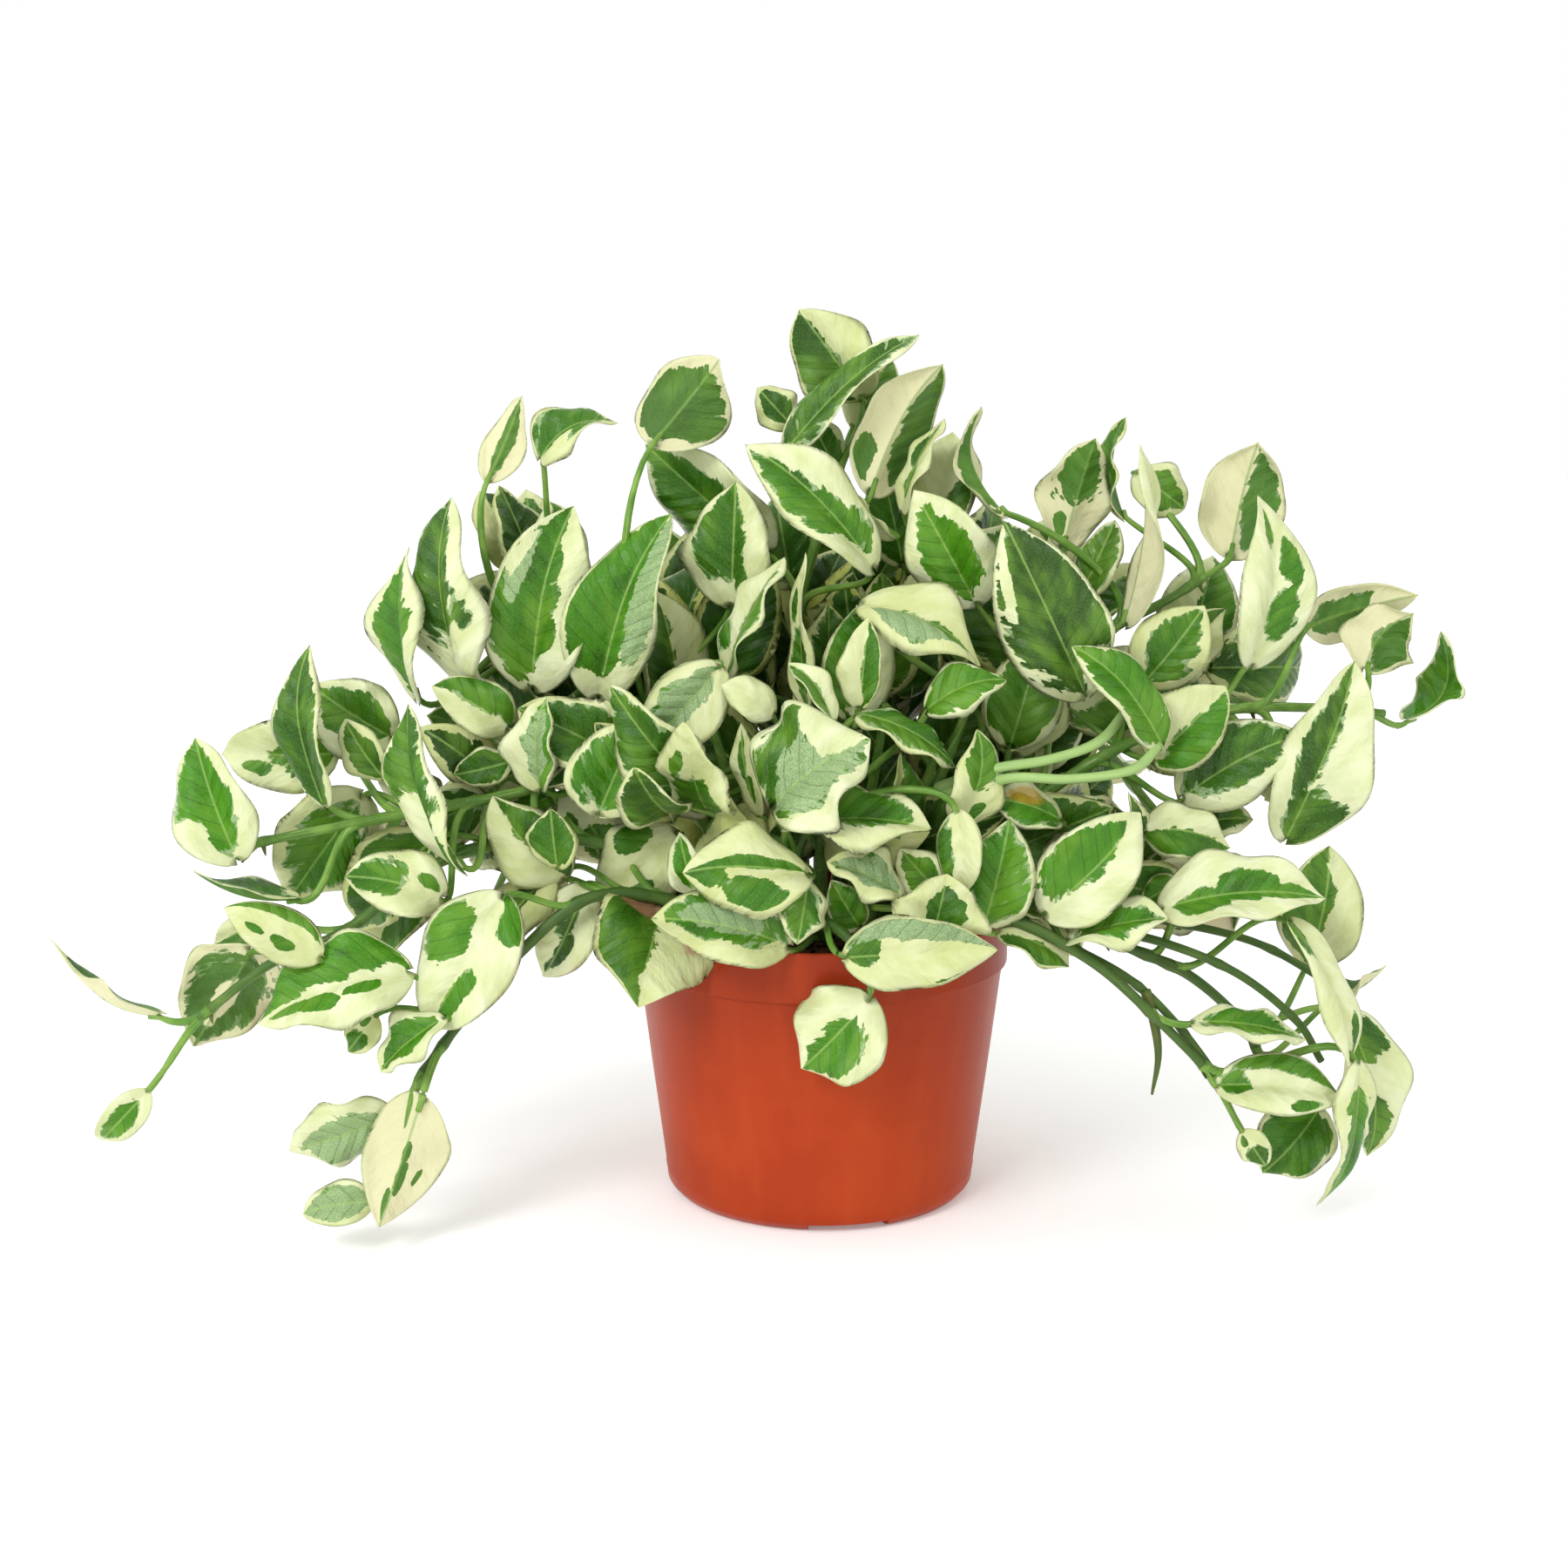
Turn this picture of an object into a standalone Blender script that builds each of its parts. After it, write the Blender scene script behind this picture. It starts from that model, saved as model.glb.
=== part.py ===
"""Potted pothos with small variegated leaves, in a thin moulded nursery pot.

The pot's base centre is the origin and +Z is up.  The pot holds a plug of soil, the stems
come out of the soil and arch outwards, and every leaf blade hangs on a stalk of a stem.
The tables of stems and leaves are in centimetres; everything else is in metres.
"""
import math

import bmesh
import bpy
import numpy as np

CM = 0.01
GAP = 0.0003                 # free gap between two pieces that would otherwise touch

RIM_RADIUS = 0.0775
RIM_TOP = 0.117
RIM_BAND = 0.0206            # height of the band under the lip
BAND_STEP = 0.0018           # how far the band stands proud of the wall
WALL_TOP_RADIUS = 0.0755
WALL_FOOT_RADIUS = 0.0640
FOOT_RADIUS = 0.0605
FOOT_BEVEL = 0.0040
WALL = 0.0014
BASE_DISC_RADIUS = 0.0200    # flat middle of the base, level with the foot ring
FOOT_RING = 0.0065           # width of the foot ring
CHANNEL_HEIGHT = 0.0035      # raised ring channel between the base disc and the foot ring
DRAIN_HOLES = 8
DRAIN_RADIUS = 0.0035
FOOT_SLOTS = 4
SLOT_WIDTH = 0.030
SLOT_HEIGHT = 0.0022
POT_SIDES = 48

SOIL_TOP = 0.104
SOIL_BUMP = 0.0011

STEM_RADIUS = 0.0026
STEM_END_RADIUS = 0.0016
STALK_RADIUS = 0.0013
STALK_GAP = 0.0012           # free gap between a stalk's end and its leaf
SMALL_HOLD = 0.05            # how far a small leaf's stalk runs into the blade, of its length
LEAF_THICKNESS = 0.0009
LEAF_ROWS = (0.0, 0.14, 0.38, 0.64, 0.86, 1.0)
SMALL_LEAF_ROWS = (0.0, 0.25, 0.62, 1.0)

# Stems: the points of each route, from the soil outwards, chosen by hand.
STEMS = {
    "left_low": [(-3, -3.4, 10.6), (-5.5, -4.6, 12.9), (-9, -5.6, 13.4), (-11.8, -6.5, 11.3),
                 (-14, -7.5, 8.8), (-15.5, -8, 6.8)],
    "left_far": [(-4, -1, 10.6), (-7, -2.8, 14.4), (-11, -4, 15.4), (-15, -4.8, 14.6),
                 (-18.4, -5.9, 12.2), (-21.3, -6.6, 11), (-24, -7.2, 9)],
    "left_mid": [(-4, 0.6, 10.6), (-6.5, -1.5, 15.6), (-9.5, -3, 17.6), (-12.5, -4, 17.1),
                 (-16, -4.8, 16.6), (-19.5, -5.9, 16.1), (-21.8, -6.4, 15.7)],
    "left_top": [(-2.4, 1.2, 10.6), (-4, 0.2, 15.5), (-6.5, -0.8, 19.2), (-9.2, -0.6, 21.6),
                 (-12, -0.4, 23), (-13.6, -0.6, 25)],
    "top": [(-0.6, 1.6, 10.6), (-0.8, 1.8, 17), (-1, 1.4, 23), (0, 1, 27.4), (0.8, 0.8, 29.8)],
    "right_top": [(2.5, 0.8, 10.6), (5, 0.4, 16), (8, 0.2, 20.3), (11.2, 0, 22.9),
                  (14, 0.2, 24.4), (15.6, 0.4, 25.4)],
    "right_mid": [(3.4, -0.6, 10.6), (7, -1.2, 15), (11.5, -1.6, 18.4), (16, -1, 20.0),
                  (20, -0.4, 20.1), (23, 0, 19.8)],
    "right_low": [(3.2, -2.4, 10.6), (6, -4.4, 13.2), (9.5, -5.3, 12.4), (11.8, -5.3, 11.4),
                  (14.4, -5.4, 10.2), (16.5, -5.6, 8.3), (17.3, -5.8, 6.6)],
    "right_front": [(2.6, -4.4, 10.6), (5.2, -5.8, 12.9), (7.4, -7, 12.8), (10.2, -7.7, 11.4),
                    (12.4, -8, 9.5), (14.9, -8, 7)],
    "front": [(-0.8, -2.4, 10.6), (-1.1, -4, 13), (-0.9, -5.2, 15.2), (-0.4, -5.8, 16.4)],
    "front_rim": [(0.4, -4, 10.6), (-0.3, -5.8, 12.3), (0.2, -7.4, 12.8), (1.2, -8.6, 12.2),
                  (1.8, -9.1, 11.1)],
    "back_left": [(-2.2, 3.4, 10.6), (-4.5, 6.5, 15), (-7.8, 9.8, 16.6), (-11.5, 12.8, 14.6),
                  (-14.6, 15, 10.6), (-16.5, 16.2, 6.4)],
    "back_mid": [(0.6, 4.2, 10.6), (1.6, 7.6, 16.4), (2.6, 11.4, 18), (3.4, 15, 15.4),
                 (3.8, 17.6, 10.6), (3.6, 18.8, 5.8)],
    "back_right": [(3.4, 2.8, 10.6), (6.4, 5.8, 15.8), (9.8, 8.8, 18), (13.4, 11.6, 16.4),
                   (16.4, 13.8, 12.2), (18, 15, 7.6)],
}

# Leaves: stem, base, tip, the side that the upper face looks to (Front, Back, Left, Right,
# Up, Down), width, fold angle of each half in degrees, and rise of the midrib's arch as a
# share of the length.
LEAVES = [
    ("left_mid", (-22.3, -7, 15.3), (-23.9, -6, 19.7), "F", 4.0, 12, 0.10),
    ("left_mid", (-20.3, -6.4, 13.6), (-24, -6.6, 14.8), "U", 2.6, 40, -0.12),
    ("left_far", (-25.7, -6.5, 9.0), (-29.6, -5.5, 11.9), "U", 2.8, 42, -0.20),
    ("left_far", (-22.3, -5.6, 11.2), (-24.7, -5.4, 7.4), "B", 4.2, 14, 0.06),
    ("left_far", (-25.9, -8, 6.3), (-28.0, -8, 4.1), "F", 1.9, 14, 0.10),
    ("left_low", (-15.8, -8, 11.1), (-21.3, -9, 9.3), "FU", 3.6, 10, 0.14),
    ("left_low", (-12.2, -7.4, 13.7), (-15.2, -7.8, 8.6), "F", 4.4, 10, 0.10),
    ("left_low", (-15.3, -8.4, 6.1), (-17.0, -8.8, 1.2), "B", 3.4, 12, 0.08),
    ("left_mid", (-13.8, -6.5, 14.7), (-16.0, -6.6, 21.1), "FL", 3.6, 20, 0.08),
    ("left_top", (-14.4, -2, 21.5), (-15.1, -2.4, 28.8), "F", 3.4, 14, 0.07),
    ("left_top", (-11.3, -2, 21.2), (-9.8, -2.4, 28.5), "F", 3.7, 14, 0.07),
    ("left_top", (-9.2, -2.6, 20.9), (-6.8, -3, 28.2), "F", 3.5, 16, 0.08),
    ("left_top", (-6.6, -0.6, 30.8), (-4.1, -0.4, 34.0), "B", 3.6, 12, 0.12),
    ("top", (-2.3, 2.2, 26.3), (-7.3, 2.0, 30.7), "F", 4.0, 10, 0.08),
    ("top", (-1.4, 0.2, 30.4), (3.8, 0, 35.2), "UL", 3.4, 35, 0.08),
    ("top", (2.0, 0, 28.9), (4.6, 0, 34.1), "BR", 3.8, 24, 0.08),
    ("right_top", (6.1, -1.4, 24.5), (3.6, -1.7, 28.9), "F", 3.7, 10, 0.10),
    ("right_top", (10.3, -3.2, 21.1), (7.0, -3.4, 27.8), "F", 4.2, 14, 0.08),
    ("right_top", (12.2, -1, 23.6), (12.8, -1.2, 30.7), "R", 3.0, 48, 0.05),
    ("right_top", (16.7, 1, 26.3), (17.6, 1, 30.8), "B", 3.4, 16, 0.08),
    ("right_mid", (17.3, -1.2, 22), (18.0, -1.6, 28.8), "RF", 3.4, 32, 0.06),
    ("right_mid", (19.7, 0, 23.4), (24.2, 0.2, 24.7), "B", 2.6, 14, 0.10),
    ("right_mid", (24.1, 0.6, 19.6), (25.3, 1, 22.9), "LU", 2.0, 20, -0.52),
    ("right_mid", (18.7, -2.2, 15.1), (21.3, -2.6, 22.3), "FR", 4.0, 16, 0.06),
    ("right_mid", (14.5, -2.4, 16.8), (19.1, -2.6, 19.4), "FU", 3.4, 8, 0.10),
    ("right_low", (13.0, -6.9, 13.3), (19.1, -7.3, 13.8), "FU", 3.6, 10, 0.12),
    ("right_low", (8.5, -7.2, 13.2), (12.2, -7.4, 17.1), "F", 3.5, 10, 0.08),
    ("right_low", (17.7, -7.8, 13), (20.2, -8.4, 6.6), "RF", 2.8, 40, 0.10),
    ("right_front", (15.1, -8.3, 6.9), (19.9, -8.6, 6.4), "FU", 3.6, 12, 0.10),
    ("right_low", (20.0, -5.6, 8.0), (22.0, -5.8, 2.8), "FR", 3.4, 16, 0.08),
    ("front", (-1.8, -6.8, 17.4), (1.7, -7.6, 20.0), "FU", 4.6, 10, 0.08),
    ("front_rim", (1.6, -8.8, 10.1), (-0.9, -8.5, 7.3), "F", 3.6, 8, 0.06),
]

# Small leaves, in the same form as LEAVES.  Each is joined to its stem by its stalk.
SMALL_LEAVES = [
    ("left_mid", (-18.2, -3.6, 16.9), (-21.2, -3.8, 12.8), "F", 4.4, 10, 0.06),
    ("left_mid", (-14.6, -6.9, 13.7), (-18.2, -7.1, 14.6), "FU", 2.8, 12, 0.10),
    ("left_mid", (-19.3, -4.4, 17.0), (-20.4, -4.4, 23.2), "LF", 2.8, 45, 0.05),
    ("left_mid", (-17.2, -2.2, 19.2), (-20.2, -2.7, 21.3), "F", 3.4, 10, 0.08),
    ("left_mid", (-17.1, -4.4, 17.9), (-18.6, -4.6, 20.3), "F", 2.0, 20, 0.10),
    ("left_mid", (-8.8, -5.6, 17.0), (-7.0, -5.8, 20.3), "F", 3.2, 12, 0.08),
    ("left_low", (-16.8, -7.0, 5.2), (-20.6, -7.0, 3.6), "F", 3.4, 10, 0.08),
    ("left_low", (-17.6, -8.2, 1.9), (-19.9, -8.2, 1.5), "FU", 1.6, 15, 0.10),
    ("left_low", (-5.4, -8.3, 12.7), (-7.2, -9.0, 9.6), "F", 4.2, 8, 0.08),
    ("left_top", (-16.2, -0.8, 20.6), (-16.8, -0.8, 26.8), "LF", 3.2, 42, 0.05),
    ("left_top", (-12.4, -3.2, 19.7), (-15.3, -3.4, 21.4), "FU", 2.4, 15, 0.10),
    ("left_top", (-12.3, -3.6, 18.4), (-14.5, -3.8, 17.9), "F", 1.6, 15, 0.10),
    ("left_top", (-13.1, -1.0, 29.5), (-11.8, -1.0, 32.8), "B", 2.2, 20, 0.14),
    ("left_top", (-11.0, -1.5, 30.1), (-8.3, -1.2, 31.2), "UF", 2.4, 15, 0.35),
    ("left_top", (-3.0, -1.0, 25.1), (-4.1, -1.2, 28.6), "F", 3.2, 8, 0.08),
    ("top", (-4.0, -2.6, 21.4), (-1.6, -2.8, 26.1), "FL", 2.6, 25, 0.08),
    ("top", (-1.2, 1.8, 31.4), (-2.6, 1.8, 32.9), "F", 1.8, 8, 0.08),
    ("top", (0.6, 1.2, 29.6), (-0.6, 1.2, 32.0), "F", 2.0, 10, 0.08),
    ("top", (1.4, 2.2, 31.4), (2.9, 2.4, 34.3), "F", 2.4, 10, 0.08),
    ("top", (1.8, -1.6, 26.7), (-2.8, -1.4, 30.3), "FU", 3.6, 12, 0.10),
    ("top", (0.5, -2.0, 22.0), (0.1, -2.0, 26.2), "F", 2.0, 15, 0.08),
    ("top", (-0.6, -3.4, 20.6), (-0.9, -3.2, 26.6), "FL", 1.6, 40, 0.03),
    ("right_top", (7.4, 0.4, 27.8), (5.7, 0.4, 32.2), "LU", 2.4, 46, 0.12),
    ("right_top", (9.9, 1.2, 26.6), (11.1, 1.2, 30.9), "B", 3.0, 12, 0.08),
    ("right_top", (12.4, 1.6, 27.6), (12.0, 1.6, 31.8), "L", 2.2, 45, 0.08),
    ("right_top", (12.9, -1.6, 21.3), (15.2, -1.8, 24.4), "F", 3.2, 8, 0.08),
    ("right_top", (13.2, -4.2, 19.2), (9.8, -4.6, 23.4), "FR", 3.0, 20, 0.08),
    ("right_top", (1.8, -3.4, 24.3), (6.8, -3.8, 22.6), "UF", 2.3, 15, 0.10),
    ("right_mid", (22.0, -0.4, 21.7), (23.8, -0.6, 24.0), "BU", 3.0, 15, 0.20),
    ("right_mid", (15.2, -1.0, 15.3), (17.6, -1.2, 15.7), "FU", 1.8, 12, 0.10),
    ("right_mid", (5.3, -6.0, 16.4), (6.2, -6.2, 20.1), "FR", 2.4, 15, 0.08),
    ("right_mid", (8.9, -5.0, 16.6), (6.8, -5.0, 17.3), "FU", 1.7, 12, 0.10),
    ("right_low", (9.4, -7.4, 12.2), (13.0, -8.0, 13.2), "FU", 3.0, 18, 0.08),
    ("right_low", (12.7, -4.4, 15.9), (16.0, -4.6, 15.2), "UF", 2.6, 12, 0.12),
    ("right_low", (19.6, -3.2, 10.2), (20.4, -3.0, 15.0), "F", 3.0, 10, 0.08),
    ("right_low", (20.2, -4.0, 8.9), (22.3, -4.2, 10.4), "U", 1.8, 25, -0.10),
    ("right_low", (19.5, -7.6, 6.0), (19.7, -8.0, 1.8), "RF", 1.6, 38, 0.04),
    ("front", (1.4, -5.6, 20.6), (5.1, -6.0, 18.6), "UF", 2.4, 10, 0.15),
    ("front", (-1.0, -7.6, 15.5), (4.6, -7.9, 16.2), "FU", 3.0, 10, 0.10),
    ("front", (-0.7, -8.4, 14.5), (-5.0, -8.6, 15.3), "FU", 2.3, 15, 0.10),
    ("front", (1.4, -5.0, 20.8), (1.7, -4.8, 24.2), "F", 1.8, 20, 0.06),
    ("front", (4.0, -5.0, 20.7), (7.1, -5.2, 22.1), "FU", 2.2, 12, 0.12),
    ("front", (-1.9, -5.0, 20.6), (-3.9, -5.2, 21.8), "FU", 1.9, 12, 0.10),
    ("front", (0.4, -6.2, 20.4), (-1.2, -5.8, 22.8), "FR", 1.5, 28, 0.08),
    ("front", (-2.5, -5.4, 16.6), (-3.2, -5.4, 20.2), "FL", 1.3, 30, 0.05),
    ("front", (6.0, -7.6, 14.3), (5.2, -7.4, 16.6), "F", 1.6, 20, 0.10),
    ("front_rim", (-0.8, -8.7, 14.0), (-0.5, -8.8, 11.9), "F", 1.9, 8, 0.10),
    ("front_rim", (4.9, -8.3, 11.9), (5.2, -8.1, 14.6), "F", 3.4, 15, 0.08),
    ("front_rim", (2.4, -8.9, 11.6), (5.6, -9.1, 11.2), "FU", 2.6, 18, 0.05),
]

# Leaves that grow along the back stems: how many, and the length of the first one.
BACK_STEMS = {"back_left": 4, "back_mid": 4, "back_right": 4}
BACK_LEAF_LENGTH = 6.6
BACK_LEAF_WIDTH = 3.7

SIDES = {"F": (0, -1, 0), "B": (0, 1, 0), "L": (-1, 0, 0), "R": (1, 0, 0),
         "U": (0, 0, 1), "D": (0, 0, -1)}


def unit(v):
    return v / np.linalg.norm(v)


def facing(letters):
    """Unit vector of the sum of the directions that the letters name."""
    return unit(sum(np.array(SIDES[c], float) for c in letters))


def smooth_route(points, per_span):
    """Catmull-Rom curve through the points, per_span samples for each span, end included."""
    p = np.array(points, float)
    p = np.vstack([2 * p[0] - p[1], p, 2 * p[-1] - p[-2]])
    out = []
    for i in range(1, len(p) - 2):
        for u in np.arange(per_span) / per_span:
            out.append(0.5 * (2 * p[i] + (p[i + 1] - p[i - 1]) * u
                       + (2 * p[i - 1] - 5 * p[i] + 4 * p[i + 1] - p[i + 2]) * u ** 2
                       + (3 * p[i] - p[i - 1] - 3 * p[i + 1] + p[i + 2]) * u ** 3))
    out.append(p[-2])
    return np.array(out)


def material(name, color, roughness):
    mat = bpy.data.materials.new(name)
    mat.use_nodes = True
    shader = mat.node_tree.nodes["Principled BSDF"]
    shader.inputs["Base Color"].default_value = (*color, 1.0)
    shader.inputs["Roughness"].default_value = roughness
    shader.inputs["Metallic"].default_value = 0.0
    return mat


def add_object(name, vertices, faces, mat):
    mesh = bpy.data.meshes.new(name)
    mesh.from_pydata([tuple(v) for v in vertices], [], faces)
    mesh.materials.append(mat)
    mesh.validate()
    obj = bpy.data.objects.new(name, mesh)
    bpy.context.collection.objects.link(obj)
    return obj


def turned(name, profile, sides, mat):
    """Solid of revolution of a closed (radius, z) profile, points at radius 0 being poles."""
    vertices, rings = [], []
    for r, z in profile:
        if r == 0:
            rings.append([len(vertices)] * sides)
            vertices.append((0, 0, z))
            continue
        rings.append(list(range(len(vertices), len(vertices) + sides)))
        for k in range(sides):
            a = 2 * math.pi * k / sides
            vertices.append((r * math.cos(a), r * math.sin(a), z))
    faces = []
    closed = profile[0][0] > 0
    for i in range(len(rings) - (0 if closed else 1)):
        a, b = rings[i], rings[(i + 1) % len(rings)]
        for k in range(sides):
            n = (k + 1) % sides
            face = list(dict.fromkeys((a[k], a[n], b[n], b[k])))
            if len(face) > 2:
                faces.append(face)
    return add_object(name, vertices, faces, mat)


def tube(points, radii, sides):
    """Vertices and faces of a closed tube along the points, its rings held square to it."""
    points = np.array(points)
    along = np.gradient(points, axis=0)
    along /= np.linalg.norm(along, axis=1)[:, None]
    side = unit(np.cross(along[0], (0.31, 0.17, 0.93) if abs(along[0][2]) < 0.8 else (1, 0.2, 0)))
    vertices, faces = [], []
    for p, t, r in zip(points, along, radii):
        side = unit(side - t * side.dot(t))
        other = np.cross(t, side)
        for k in range(sides):
            a = 2 * math.pi * k / sides
            vertices.append(p + r * (math.cos(a) * side + math.sin(a) * other))
    last = len(points) - 1
    for i in range(last):
        for k in range(sides):
            n = (k + 1) % sides
            faces.append((i * sides + k, i * sides + n, (i + 1) * sides + n, (i + 1) * sides + k))
    faces.append(tuple(reversed(range(sides))))
    faces.append(tuple(last * sides + k for k in range(sides)))
    return vertices, faces


def leaf_frame(base, tip, face, arch, t):
    """Midrib points, tangents and upward normals at the shares t of the leaf's length."""
    chord = tip - base
    length = np.linalg.norm(chord)
    d = chord / length
    n = unit(face - d * face.dot(d))
    t = np.asarray(t)[:, None]
    mid = base + chord * t + n * arch * length * 4 * t * (1 - t)
    tangent = d + n * arch * 4 * (1 - 2 * t)
    tangent /= np.linalg.norm(tangent, axis=1)[:, None]
    side = np.cross(d, n)
    return mid, tangent, np.cross(side, tangent), side


def half_width(t, width):
    """Half the blade's width: t^0.5 (1-t)^0.8, scaled to its widest place, never under 1.2 mm."""
    rise, fall = 0.5, 0.8
    widest = rise / (rise + fall)
    shape = (t / widest) ** rise * ((1 - t) / (1 - widest)) ** fall
    return np.maximum(0.5 * width * shape, 0.0012)


def leaf_solid(base, tip, face, width, fold, arch, rows):
    """Thin closed blade: two flat halves folded up from the arched midrib by the fold angle."""
    t = np.array(rows)
    mid, tangent, normal, side = leaf_frame(base, tip, face, arch, t)
    half = half_width(t, width)[:, None]
    across = half * (math.cos(fold) * side)
    lift = half * math.sin(fold) * normal
    top = np.stack([mid - across + lift, mid, mid + across + lift], axis=1)
    low = top - LEAF_THICKNESS * normal[:, None, :]
    count = len(t)
    vertices = list(top.reshape(-1, 3)) + list(low.reshape(-1, 3))
    under = count * 3
    faces = []
    for i in range(count - 1):
        for j in range(2):
            a, b, c, d = i * 3 + j, i * 3 + j + 1, i * 3 + j + 4, i * 3 + j + 3
            faces.append((a, b, c, d))
            faces.append((under + d, under + c, under + b, under + a))
        a, b = i * 3, i * 3 + 3
        faces.append((a, b, under + b, under + a))
        a, b = i * 3 + 2, i * 3 + 5
        faces.append((b, a, under + a, under + b))
    for j in range(2):
        faces.append((j + 1, j, under + j, under + j + 1))
        a = (count - 1) * 3 + j
        faces.append((a, a + 1, under + a + 1, under + a))
    return vertices, faces


def stalk_points(route, base, along, up, gap, spans):
    """Curve from the stem to the leaf's base, kept on the under side of the blade."""
    behind = unit(along + 0.5 * up)
    wanted = base - 0.026 * behind
    near = int(np.argmin(np.linalg.norm(route[2:] - wanted, axis=1))) + 2
    foot = route[near]
    end = base - gap * behind
    knee = base - 0.45 * np.linalg.norm(base - foot) * behind
    u = np.linspace(0, 1, spans + 1)[:, None]
    return (1 - u) ** 2 * foot + 2 * u * (1 - u) * knee + u ** 2 * end


def joined(name, solids, mat):
    """One closed body from several overlapping closed solids."""
    parts = [add_object(f"{name}_{i}", v, f, mat) for i, (v, f) in enumerate(solids)]
    body = parts[0]
    if len(parts) > 1:
        group = bpy.data.collections.new(name)
        for extra in parts[1:]:
            group.objects.link(extra)
        union = body.modifiers.new("union", "BOOLEAN")
        union.operation = "UNION"
        union.operand_type = "COLLECTION"
        union.collection = group
        union.solver = "EXACT"
        state = bpy.context.evaluated_depsgraph_get()
        mesh = bpy.data.meshes.new_from_object(body.evaluated_get(state))
        body.modifiers.clear()
        body.data = mesh
        for extra in parts[1:]:
            bpy.data.objects.remove(extra)
        bpy.data.collections.remove(group)
    body.name = name
    body.data.name = name
    return body


def back_leaves(stem, count):
    """Leaves set alternately along a stem that arches over the back of the pot."""
    route = smooth_route(STEMS[stem], 8)
    rows = []
    for k in range(count):
        at = int(len(route) * (0.34 + 0.62 * k / (count - 1))) - 1
        along = unit(route[at] - route[at - 1])
        out = unit(np.array((along[0], along[1], 0)))
        side = np.cross(out, (0, 0, 1)) * (1 if k % 2 else -1)
        up = np.array((0, 0, 1.0))
        length = BACK_LEAF_LENGTH * (1 - 0.08 * k)
        base = route[at] + 2.6 * side + 1.4 * out + up * (2.2 - 0.5 * k)
        tip = base + length * unit(0.8 * side + 0.55 * out + up * (0.5 - 0.42 * k))
        face = unit(out + 0.3 * side + 0.7 * up)
        rows.append((stem, base, tip, face, BACK_LEAF_WIDTH * (1 - 0.07 * k), 12, 0.10))
    return rows


for old in list(bpy.data.objects):
    bpy.data.objects.remove(old)

terracotta = material("pot_plastic", (0.60, 0.086, 0.030), 0.38)
peat = material("potting_soil", (0.045, 0.026, 0.015), 0.95)
stem_green = material("stem_green", (0.16, 0.33, 0.07), 0.5)
leaf_green = material("leaf_green", (0.07, 0.26, 0.06), 0.35)

# Pot: one thin moulded wall with a proud rim band, a foot ring and a raised ring channel.
band_foot = RIM_TOP - RIM_BAND
band_inner = RIM_RADIUS - WALL
floor_top = CHANNEL_HEIGHT + WALL
pot_profile = [
    (0, 0), (BASE_DISC_RADIUS, 0), (BASE_DISC_RADIUS + 0.002, CHANNEL_HEIGHT),
    (FOOT_RADIUS - FOOT_RING - 0.002, CHANNEL_HEIGHT), (FOOT_RADIUS - FOOT_RING, 0),
    (FOOT_RADIUS, 0), (WALL_FOOT_RADIUS, FOOT_BEVEL),
    (WALL_TOP_RADIUS, band_foot), (WALL_TOP_RADIUS + BAND_STEP, band_foot + 0.0008),
    (RIM_RADIUS, RIM_TOP - 0.0006), (RIM_RADIUS - 0.0006, RIM_TOP),
    (band_inner + 0.0002, RIM_TOP), (band_inner - 0.0004, RIM_TOP - 0.0006),
    (WALL_TOP_RADIUS + BAND_STEP - WALL, band_foot + 0.0030),
    (WALL_TOP_RADIUS - WALL, band_foot), (WALL_FOOT_RADIUS - WALL, floor_top + 0.003),
    (WALL_FOOT_RADIUS - WALL - 0.003, floor_top), (0, floor_top),
]
pot = turned("pot", pot_profile, POT_SIDES, terracotta)


def cutter(name, size, place, turn):
    bm = bmesh.new()
    bmesh.ops.create_cube(bm, size=1)
    bmesh.ops.scale(bm, verts=bm.verts, vec=size)
    mesh = bpy.data.meshes.new(name)
    bm.to_mesh(mesh)
    bm.free()
    obj = bpy.data.objects.new(name, mesh)
    bpy.context.collection.objects.link(obj)
    obj.location = place
    obj.rotation_euler = (0, 0, turn)
    obj.hide_render = True
    obj.display_type = "WIRE"
    return obj


def cut(obj, tool):
    take = obj.modifiers.new(tool.name, "BOOLEAN")
    take.operation = "DIFFERENCE"
    take.solver = "EXACT"
    take.object = tool


for k in range(FOOT_SLOTS):
    angle = math.radians(-80) + 2 * math.pi * k / FOOT_SLOTS
    middle = FOOT_RADIUS - FOOT_RING / 2
    cut(pot, cutter(f"foot_slot_{k}", (FOOT_RING * 2.4, SLOT_WIDTH, SLOT_HEIGHT * 2),
                    (middle * math.cos(angle), middle * math.sin(angle), 0), angle))

drain_ring = (BASE_DISC_RADIUS + FOOT_RADIUS - FOOT_RING) / 2
for k in range(DRAIN_HOLES):
    angle = 2 * math.pi * (k + 0.5) / DRAIN_HOLES
    cut(pot, cutter(f"drain_{k}", (2 * DRAIN_RADIUS, 2 * DRAIN_RADIUS, 4 * WALL),
                    (drain_ring * math.cos(angle), drain_ring * math.sin(angle),
                     CHANNEL_HEIGHT + WALL / 2), angle))

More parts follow.
